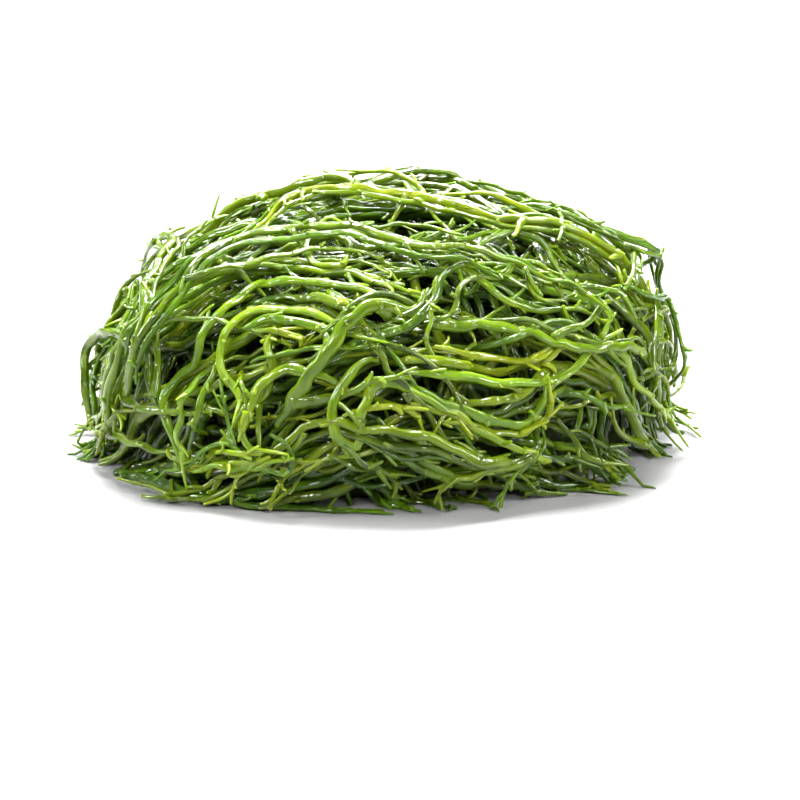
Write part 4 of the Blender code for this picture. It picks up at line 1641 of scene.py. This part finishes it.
class Shader:
    """A material's node tree, with short ways to add and join nodes."""

    def __init__(self, name: str) -> None:
        """Starts a material with one Principled shader.

        Args:
            name: the material's name.
        """
        self.material = bpy.data.materials.new(name)
        self.material.use_nodes = True
        self.tree = self.material.node_tree
        self.surface = self.tree.nodes["Principled BSDF"]

    def node(self, kind: str, inputs: Inputs, **settings: object) -> bpy.types.Node:
        """Adds a node.

        Args:
            kind: its type's name, without the leading ShaderNode.
            inputs: for each input's name, a value or an output socket to join to it.
            settings: the node's own properties.

        Returns:
            The node.
        """
        node = self.tree.nodes.new("ShaderNode" + kind)
        for name, value in settings.items():
            setattr(node, name, value)
        self.set(node, inputs)
        return node

    def set(self, node: bpy.types.Node, inputs: Inputs) -> None:
        """Sets or joins a node's inputs.

        Args:
            node: the node.
            inputs: for each input's name or number, a value or an output socket to join to it.
        """
        for name, value in inputs.items():
            if isinstance(value, Socket):
                self.tree.links.new(value, node.inputs[name])
            else:
                node.inputs[name].default_value = value

    def ramp(self, value: Socket, stops: list[tuple[float, Place]]) -> Socket:
        """The colour that a value has on a smooth ramp.

        Args:
            value: the value.
            stops: the values at which the ramp has a colour of its own, and the colours.

        Returns:
            The colour.
        """
        ramp = self.node("ValToRGB", {"Fac": value})
        ramp.color_ramp.interpolation = "EASE"
        while len(ramp.color_ramp.elements) < len(stops):
            ramp.color_ramp.elements.new(0.5)
        for element, (place, colour) in zip(ramp.color_ramp.elements, stops):
            element.position = place
            element.color = (*colour, 1)
        return ramp.outputs["Color"]

    def math(self, operation: str, first: object, second: object) -> Socket:
        """A sum, product or the like of two values."""
        return self.node("Math", {0: first, 1: second}, operation=operation).outputs[0]

    def scaled(self, vector: Socket, scale: Place) -> Socket:
        """A vector, scaled along each axis."""
        return self.node("Mapping", {"Vector": vector, "Scale": scale}).outputs[0]

    def noise(self, vector: Socket, scale: float, detail: float) -> Socket:
        """A cloudy value between 0 and 1."""
        return self.node("TexNoise", {"Vector": vector, "Scale": scale, "Detail": detail}).outputs[0]

    def spread(self, value: Socket, source: Range, wanted: Range) -> Socket:
        """A value moved from one range to another, and kept in it."""
        ranges = {"From Min": source[0], "From Max": source[1], "To Min": wanted[0], "To Max": wanted[1]}
        return self.node("MapRange", {"Value": value, **ranges}).outputs[0]

    def bump(self, height: Socket, strength: float, depth: float) -> Socket:
        """The normal of a surface with this relief."""
        return self.node("Bump", {"Strength": strength, "Distance": depth, "Height": height}).outputs[0]


@dataclass(frozen=True)
class WetFrond:
    """Wet seaweed: a smooth translucent green, streaked along the strand, under a film of water. Its green
    carries painted light: a lighter underside, edges lighter on some strands and darker on others, and a
    shift up for the lighter copy of the finish and down for the darker copy.
    """

    name: str
    # how much lighter this copy of the finish is: painted light for the lighter copy, painted shade for the
    # darker one, and only a tone shift among the loose thalli
    tone_and_painted_light: float
    dark: Place = (0.011, 0.023, 0.001)
    green: Place = (0.029, 0.062, 0.001)
    leaf: Place = (0.092, 0.162, 0.002)
    yellow: Place = (0.200, 0.285, 0.005)
    green_stop: float = 0.35
    leaf_stop: float = 0.65
    youth_gain: float = 0.14
    hue_gain: float = 0.018
    streak_stretch: Place = (1.0, 1.0, 0.10)
    streak_scale: float = 1.1
    streak_detail: float = 3.0
    streak_gain: float = 0.5
    patch_stretch: Place = (0.22, 0.22, 0.12)
    patch_scale: float = 1.0
    patch_detail: float = 2.0
    patch_gain: float = 0.6
    # painted rim light and rim shade: a strand's edges are painted lighter than its middle on some strands
    # and darker on others
    rim_light_places: Range = (0.2, 1.3)
    rim_light_gain: float = 0.12
    # painted light: the underside of each strand is painted lighter, as light shining through it
    painted_glow_places: Range = (0.6, -1.2)
    painted_underside_glow: float = 0.16
    depth: float = 1.4 * MM
    speckle_scale: float = 2.6
    speckle_detail: float = 2.0
    speckle_height: float = 0.4
    speckle_levels: Range = (0.3, 0.7)
    roughness: Range = (0.22, 0.45)
    skin_strength: float = 0.6
    skin_depth: float = 0.3 * MM
    ripple_stretch: Place = (1.0, 1.0, 0.45)
    ripple_scale: float = 0.8
    ripple_detail: float = 1.5
    bead_scale: float = 0.75
    bead_reach: float = 0.34
    bead_height: float = 0.5
    bead_power: float = 0.5
    film_strength: float = 0.4
    film_depth: float = 0.5 * MM

    def made(self) -> bpy.types.Material:
        """Builds the material.

        Returns:
            The material.
        """
        shader = Shader(self.name)
        grain = shader.node("Attribute", {}, attribute_name="grain").outputs["Vector"]
        tone = shader.node("Attribute", {}, attribute_name="tone").outputs["Vector"]
        streaked = shader.scaled(grain, self.streak_stretch)
        streak = shader.noise(streaked, self.streak_scale, self.streak_detail)
        speckle = shader.noise(grain, self.speckle_scale, self.speckle_detail)
        parts = shader.node("SeparateXYZ", {0: tone}).outputs
        stops = [(0.0, self.dark), (self.green_stop, self.green), (self.leaf_stop, self.leaf)]
        stops.append((1.0, self.yellow))
        level = self.level(shader, grain, parts["X"], parts["Y"], parts["Z"], streak)
        colour = shader.ramp(level, stops)
        hue = shader.math("ADD", shader.math("MULTIPLY", parts["Z"], self.hue_gain), 0.5)
        colour = shader.node("HueSaturation", {"Hue": hue, "Color": colour}).outputs[0]
        rough = shader.spread(speckle, self.speckle_levels, self.roughness)
        height = shader.math("ADD", streak, shader.math("MULTIPLY", speckle, self.speckle_height))
        shader.set(
            shader.surface,
            {
                "Base Color": colour,
                "Roughness": rough,
                "IOR": 1.38,
                "Specular IOR Level": 0.12,
                "Normal": shader.bump(height, self.skin_strength, self.skin_depth),
                "Subsurface Weight": 0.5,
                "Subsurface Radius": (0.9, 1.3, 0.18),
                "Subsurface Scale": self.depth,
                "Coat Weight": 1.0,
                "Coat Roughness": 0.05,
                "Coat IOR": 1.44,
                "Coat Normal": self.film(shader, grain),
            },
        )
        return shader.material

    def level(
        self,
        shader: Shader,
        grain: Socket,
        tone: Socket,
        youth: Socket,
        hue: Socket,
        streak: Socket,
    ) -> Socket:
        """How light the green is, from 0 to 1. It carries painted light: a lighter underside, and edges
        lighter on some strands and darker on others.

        Args:
            shader: the node tree.
            grain: the place on the strand in mm: across it, over it and along it.
            tone: the strand's own lightness.
            youth: how near the place is to a tip.
            hue: the strand's own hue, from -1 to 1.
            streak: the streaks along it.

        Returns:
            The level.
        """
        patched = shader.scaled(grain, self.patch_stretch)
        patch = shader.noise(patched, self.patch_scale, self.patch_detail)
        sides = shader.node("SeparateXYZ", {0: grain}).outputs
        # painted rim light and rim shade: the edges lighter than the middle on some strands and darker on
        # others, by the strand's hue value
        edge = shader.spread(shader.math("ABSOLUTE", sides["X"], 0.0), self.rim_light_places, (-0.5, 0.5))
        edge = shader.math("MULTIPLY", edge, hue)
        # the finish copy's shift: painted light on the lighter copy, painted shade on the darker one
        level = shader.math("ADD", tone, self.tone_and_painted_light)
        for value, gain in (
            (youth, self.youth_gain),
            (shader.math("SUBTRACT", streak, 0.5), self.streak_gain),
            (shader.math("SUBTRACT", patch, 0.5), self.patch_gain),
            (edge, self.rim_light_gain),
            # painted light: the strand's underside painted lighter, as light shining through it
            (shader.spread(sides["Y"], self.painted_glow_places, (0.0, 1.0)), self.painted_underside_glow),
        ):
            level = shader.math("ADD", level, shader.math("MULTIPLY", value, gain))
        return level

    def film(self, shader: Shader, grain: Socket) -> Socket:
        """The film of water: long ripples, and small swellings that stand on it.

        Args:
            shader: the node tree.
            grain: the place on the strand in mm: across it, over it and along it.

        Returns:
            The film's normal.
        """
        rippled = shader.scaled(grain, self.ripple_stretch)
        ripple = shader.noise(rippled, self.ripple_scale, self.ripple_detail)
        cells = shader.node("TexVoronoi", {"Vector": grain, "Scale": self.bead_scale, "Randomness": 1.0})
        bead = shader.spread(cells.outputs["Distance"], (0.0, self.bead_reach), (self.bead_height, 0.0))
        height = shader.math("ADD", ripple, shader.math("POWER", bead, self.bead_power))
        return shader.bump(height, self.film_strength, self.film_depth)


@dataclass(frozen=True)
class PaintedShadeInside:
    """Painted shade for the inside of the heap: a near-black green-brown, streaked by the strands packed in
    it.
    """

    name: str = "painted_shade_inside"
    dark: Place = (0.009, 0.015, 0.002)
    light: Place = (0.034, 0.056, 0.006)
    stops: Range = (0.3, 0.7)
    stretch: Place = (60.0, 420.0, 420.0)
    detail: float = 3.0
    relief_depth: float = 1.0 * MM

    def made(self) -> bpy.types.Material:
        """Builds the material.

        Returns:
            The material.
        """
        shader = Shader(self.name)
        place = shader.node("TexCoord", {}).outputs["Object"]
        streak = shader.noise(shader.scaled(place, self.stretch), 1.0, self.detail)
        # painted shade: near-black greens for the inside
        colour = shader.ramp(streak, list(zip(self.stops, (self.dark, self.light))))
        normal = shader.bump(streak, 1.0, self.relief_depth)
        values = {"Base Color": colour, "Roughness": 0.5, "Normal": normal, "Specular IOR Level": 0.15}
        shader.set(shader.surface, values)
        return shader.material


@dataclass(frozen=True)
class PaleTable:
    """A matt white table top with faint clouds."""

    name: str = "white_table"
    dark: Place = (0.30, 0.30, 0.30)
    light: Place = (0.33, 0.33, 0.33)
    stops: Range = (0.3, 0.7)
    cloud_scale: float = 9.0
    cloud_detail: float = 2.0

    def made(self) -> bpy.types.Material:
        """Builds the material.

        Returns:
            The material.
        """
        shader = Shader(self.name)
        place = shader.node("TexCoord", {}).outputs["Object"]
        cloud = shader.noise(place, self.cloud_scale, self.cloud_detail)
        colour = shader.ramp(cloud, list(zip(self.stops, (self.dark, self.light))))
        shader.set(shader.surface, {"Base Color": colour, "Roughness": 0.6})
        return shader.material


@dataclass
class Site:
    """What all parts of the heap are built with: the mound, the CAD model's strands and the finishes."""

    cad_box: tuple[Iterable[float], Iterable[float]]
    mound: Mound = field(default_factory=Mound)
    comb: Comb = field(default_factory=Comb)
    spare: float = 0.022
    # lighter, even and darker copies of the finish: the darker one on the packed strands inside the heap is
    # painted shade, the lighter one on the strands on top and on the lighter front strands is painted light;
    # on the loose thalli they only vary the tone
    tones_and_painted_light: tuple[float, ...] = (0.10, 0.0, -0.06)

    def __post_init__(self) -> None:
        """Lays the CAD model's strands, and makes the finishes."""
        cad = CadThalli(self.mound, self.comb)
        self.heart, self.loose = cad.laid_out()
        self.centre = cad.centre(self.heart, self.loose)
        slots = (Slot.BRIGHT, Slot.GREEN, Slot.DEEP)
        fronds = [WetFrond(f"wet_{slot.value}", tone_and_painted_light) for slot, tone_and_painted_light in zip(slots, self.tones_and_painted_light)]
        self.finishes = [(frond.made(), slot) for frond, slot in zip(fronds, slots)]

    def rods(self, relief: Relief) -> Rods:
        """What turns stems into rods.

        Args:
            relief: how their surface differs from a plain tube's.

        Returns:
            The maker of rods, which keeps spurs within the space that the heap may take.
        """
        lowest, highest = (np.array(corner) for corner in self.cad_box)
        spare = (highest - lowest) * self.spare
        lowest[2] = -math.inf
        return Rods(self.mound, self.centre, relief, lowest - spare, highest + spare)


@dataclass
class PackedStrands:
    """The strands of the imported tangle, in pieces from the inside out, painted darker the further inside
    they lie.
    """

    habit: Habit = Habit(
        length=(90 * MM, 150 * MM),
        radius=1.4 * MM,
        girth=(0.65, 1.4),
        tip_share=0.6,
        crossing_share=0.2,
        crossing_angle=0.9,
        swing=(0.22, 0.6),
        short_wave=(18 * MM, 34 * MM),
        hook_share=0.4,
    )
    relief: Relief = Relief(spacing=2.1 * MM, sides=8, spur_sides=4)
    lock: Lock = Lock()
    count: int = 72
    region: float = 1.14
    tries: int = 3
    margin: float = 3.0 * MM
    bottom: float = -9.0 * MM
    ceiling: float = 0.9 * MM
    clearance: float = -0.35 * MM
    cell: float = 0.9 * MM
    samples: int = 5
    smoothings: int = 1
    pieces: int = 4
    # painted shade: the packed strands are darker than the others, and each piece further inside is darker
    # again by the step
    tone: float = 0.22
    painted_depth_shade_step: float = 0.08
    tone_spread: float = 0.10

    def build(self, site: Site) -> None:
        """Grows the strands over one another and makes the pieces.

        Args:
            site: what the heap is built with.
        """
        pile = Pile(
            site.mound,
            self.cell,
            self.clearance,
            self.bottom,
            samples=self.samples,
            smoothings=self.smoothings,
        )
        grower = Grower(site.mound, site.comb, self.habit, site.mound.limit - self.margin)
        bed = Bed(pile, "fill", grower.thallus, self.count, self.region, self.tries)
        bed.ceiling, bed.lock = self.ceiling, self.lock
        strands = list(bed.all())
        rods = site.rods(self.relief)
        # the darker copy of the finish: painted shade for the strands inside the heap
        material = site.finishes[-1][0]
        for piece in range(self.pieces):
            draw = random.Random(f"{SEED} layer {piece}")
            mesh = StrandMesh(f"packed_strands_{piece + 1}", self.relief, draw)
            first, end = (len(strands) * edge // self.pieces for edge in (piece, piece + 1))
            heart = [[axis] for axis in site.heart] if piece == self.pieces - 1 else []
            for axes in strands[first:end] + heart:
                # painted shade: darker for the pieces further inside
                tone = draw.gauss(self.tone + self.painted_depth_shade_step * piece, self.tone_spread)
                mesh.add(rods.of_thallus(axes, draw), tone)
            mesh.finish(material, Slot.PACKED, ["tangle"])


@dataclass
class LooseStrands:
    """The loose thalli of the CAD model, each as a fine strand of its own."""

    relief: Relief = Relief()
    tone: float = 0.5
    tone_spread: float = 0.05

    def build(self, site: Site) -> None:
        """Makes a piece of each.

        Args:
            site: what the heap is built with.
        """
        rods = site.rods(self.relief)
        for number, axes in enumerate(site.loose, 1):
            draw = random.Random(f"{SEED} loose {number}")
            mesh = StrandMesh(f"thallus_strand_{number:02d}", self.relief, draw)
            mesh.add(rods.of_thallus(axes, draw), draw.gauss(self.tone, self.tone_spread))
            material, slot = site.finishes[number % len(site.finishes)]
            mesh.finish(material, slot, [f"thallus_{number:02d}"])


@dataclass
class ClingingStrands:
    """The thinner strands that cling to the loose thalli."""

    lock: Lock = Lock(girth=(0.55, 0.9))
    relief: Relief = Relief(spacing=1.5 * MM)
    sides_taken: tuple[tuple[int, ...], ...] = ((1,), (-1,), (1, -1), (1, 2))
    sinking: Range = (0.1 * MM, 0.9 * MM)
    tone: float = 0.48
    tone_spread: float = 0.12

    def build(self, site: Site) -> None:
        """Makes one piece of them all.

        Args:
            site: what the heap is built with.
        """
        rods = site.rods(self.relief)
        draw = random.Random(f"{SEED} clinging")
        mesh = StrandMesh("clinging_strands", self.relief, draw)
        for axes in site.loose:
            for rank in draw.choice(self.sides_taken):
                axis = self.lock.beside(site.mound, axes[0], rank, draw)
                axis.heights -= draw.uniform(*self.sinking)
                mesh.add(rods.of_thallus([axis], draw), draw.gauss(self.tone, self.tone_spread))
        material, slot = site.finishes[1]
        mesh.finish(material, slot, [])


@dataclass
class OuterStrands:
    """The thin curled strands that lie on top of all, and the ones that stand out at the front."""

    viewpoint: Viewpoint
    habit: Habit = Habit(
        length=(45 * MM, 100 * MM),
        step=4.5 * MM,
        radius=1.1 * MM,
        girth=(0.65, 1.25),
        tip_share=0.6,
        crossing_share=0.35,
        crossing_angle=1.0,
        swing=(0.3, 0.9),
        short_wave=(15 * MM, 30 * MM),
        branch_length=(15 * MM, 35 * MM),
        hook_share=0.55,
        hook_turn=(1.4, 4.2),
    )
    relief: Relief = Relief()
    lock: Lock = Lock(girth=(0.6, 0.9), closeness=(0.8, 1.0), shortfall=6)
    count: int = 60
    region: float = 1.0
    tries: int = 8
    highest: float = 9.0 * MM
    bottom: float = 0.5 * MM
    cell: float = 0.8 * MM
    clearance: float = -0.3 * MM
    samples: int = 6
    tone: float = 0.45
    tone_spread: float = 0.11
    front_ceiling: float = 10.0 * MM
    front_smoothings: int = 3
    front_spread: float = 0.03
    light_tone: float = 0.55

    def build(self, site: Site) -> None:
        """Makes the pieces.

        Args:
            site: what the heap is built with.
        """
        pile = Pile(site.mound, cell=self.cell, clearance=self.clearance, samples=self.samples)
        pile.top[:] = self.bottom
        for axes in site.loose:
            for axis in axes:
                samples, heights = between(axis.bends, self.samples), between(axis.heights, self.samples)
                pile.lay(samples, heights, axis.radii.max())
        self.build_top(site, pile)
        self.build_front(site, pile)

    def build_top(self, site: Site, pile: Pile) -> None:
        """Grows thin strands in the dips between the loose thalli.

        Args:
            site: what the heap is built with.
            pile: how high the loose thalli reach, to which these strands are added.
        """
        grower = Grower(site.mound, site.comb, self.habit, site.mound.limit)
        bed = Bed(pile, "top", grower.thallus, self.count, self.region, self.tries)
        bed.highest = self.highest
        rods = site.rods(self.relief)
        draw = random.Random(f"{SEED} top")
        mesh = StrandMesh("top_strands", self.relief, draw)
        for axes in bed.all():
            mesh.add(rods.of_thallus(axes, draw), draw.gauss(self.tone, self.tone_spread))
        # the lighter copy of the finish: painted light on the strands on top
        material, slot = site.finishes[0]
        mesh.finish(material, slot, [])

    def build_front(self, site: Site, pile: Pile) -> None:
        """Lays the strands that stand out at the front, with the ones that cling to them.

        Args:
            site: what the heap is built with.
            pile: how high the strands under them reach, to which these are added.
        """
        pile.smoothings = self.front_smoothings
        tracer = Tracer(site.mound, site.centre, self.viewpoint)
        rods = site.rods(self.relief)
        draw = random.Random(f"{SEED} front")
        light = StrandMesh("front_strands_light", self.relief, draw)
        deep = StrandMesh("front_strands_deep", self.relief, draw)
        for course in FRONT_COURSES:
            leader = tracer.axis(course, self.habit)
            followers = [self.lock.beside(site.mound, leader, rank, draw) for rank in course.mates]
            for axis in [leader, *followers]:
                pile.weigh([axis])
                pile.settle([axis], self.front_ceiling)
                mesh = light if course.tone > self.light_tone else deep
                mesh.add(rods.of_thallus([axis], draw), draw.gauss(course.tone, self.front_spread))
        # the lighter copy of the finish, painted light, on the lighter front strands
        light.finish(*site.finishes[0], [])
        deep.finish(*site.finishes[1], [])


@dataclass(frozen=True)
class Softbox:
    """A rectangular lamp with soft edges to its shadows."""

    name: str
    place: Place
    width: float
    depth: float
    power: float
    faces: Place = (0.0, 0.0, 30 * MM)

    def build(self) -> None:
        """Hangs it up, turned to what it faces."""
        data = bpy.data.lights.new(self.name, "AREA")
        data.shape = "RECTANGLE"
        data.size, data.size_y, data.energy = self.width, self.depth, self.power
        lamp = bpy.data.objects.new(self.name, data)
        bpy.context.scene.collection.objects.link(lamp)
        lamp.location = self.place
        away = Vector(self.faces) - Vector(self.place)
        lamp.rotation_euler = away.to_track_quat("-Z", "Y").to_euler()


@dataclass(frozen=True)
class Studio:
    """A plain white table under soft lights, and the camera."""

    viewpoint: Viewpoint
    photo_side: int = 800
    scale: float = 0.27 * MM
    sensor: float = 36.0
    near: float = 0.05
    room_light: float = 0.05
    table_side: float = 8.0
    softboxes: tuple[Softbox, ...] = (
        Softbox("top_softbox", (-0.10, 0.22, 1.0), 0.36, 0.28, 37.0),
        Softbox("rear_softbox", (0.15, 0.75, 0.55), 0.45, 0.2, 9.0),
        Softbox("window_left", (-0.80, -0.05, 0.50), 0.15, 0.4, 9.0),
        Softbox("window_right", (0.75, -0.25, 0.60), 0.2, 0.5, 10.0),
        Softbox("front_left", (-0.45, -0.85, 0.75), 0.15, 0.35, 7.0),
        Softbox("front_right", (0.35, -0.90, 0.55), 0.12, 0.3, 4.0),
        Softbox("table_light", (0.0, 1.5, 1.3), 2.0, 1.0, 60.0, (0.0, 1.5, 0.0)),
    )

    def build(self) -> None:
        """Builds the table, the lights and the camera."""
        self.build_table()
        self.build_camera()
        for softbox in self.softboxes:
            softbox.build()
        world = bpy.data.worlds.new("white_room")
        bpy.context.scene.world = world
        world.use_nodes = True
        background = world.node_tree.nodes["Background"]
        background.inputs["Color"].default_value = (1, 1, 1, 1)
        background.inputs["Strength"].default_value = self.room_light
        bpy.context.scene.view_settings.view_transform = "Standard"

    def build_table(self) -> None:
        """Adds a plain pale floor."""
        bpy.ops.mesh.primitive_plane_add(size=self.table_side)
        floor = bpy.context.object
        floor.name = "table"
        floor.data.materials.append(PaleTable().made())
        floor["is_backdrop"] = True

    def build_camera(self) -> None:
        """Adds the camera at the photo's angle, with the heap where the photo has it."""
        data = bpy.data.cameras.new("photo_camera")
        data.sensor_width = self.sensor
        data.lens = self.sensor * self.viewpoint.distance / (self.photo_side * self.scale)
        data.clip_start = self.near
        camera = bpy.data.objects.new("photo_camera", data)
        bpy.context.scene.collection.objects.link(camera)
        camera.location = self.viewpoint.place()
        camera.rotation_euler = (math.pi / 2 - self.viewpoint.elevation, 0, 0)
        bpy.context.scene.camera = camera


def main() -> None:
    """Builds the heap piece by piece."""
    logging.basicConfig(level=logging.INFO, format="%(name)s: %(message)s")
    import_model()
    cad_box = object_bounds()
    viewpoint = Viewpoint()
    site = Site(cad_box)
    DarkHeart(site.mound, site.centre).build(PaintedShadeInside().made())
    parts = (PackedStrands(), LooseStrands(), ClingingStrands(), OuterStrands(viewpoint))
    for part in parts:
        part.build(site)
    Studio(viewpoint).build()
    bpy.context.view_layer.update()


if __name__ == "__main__":
    main()
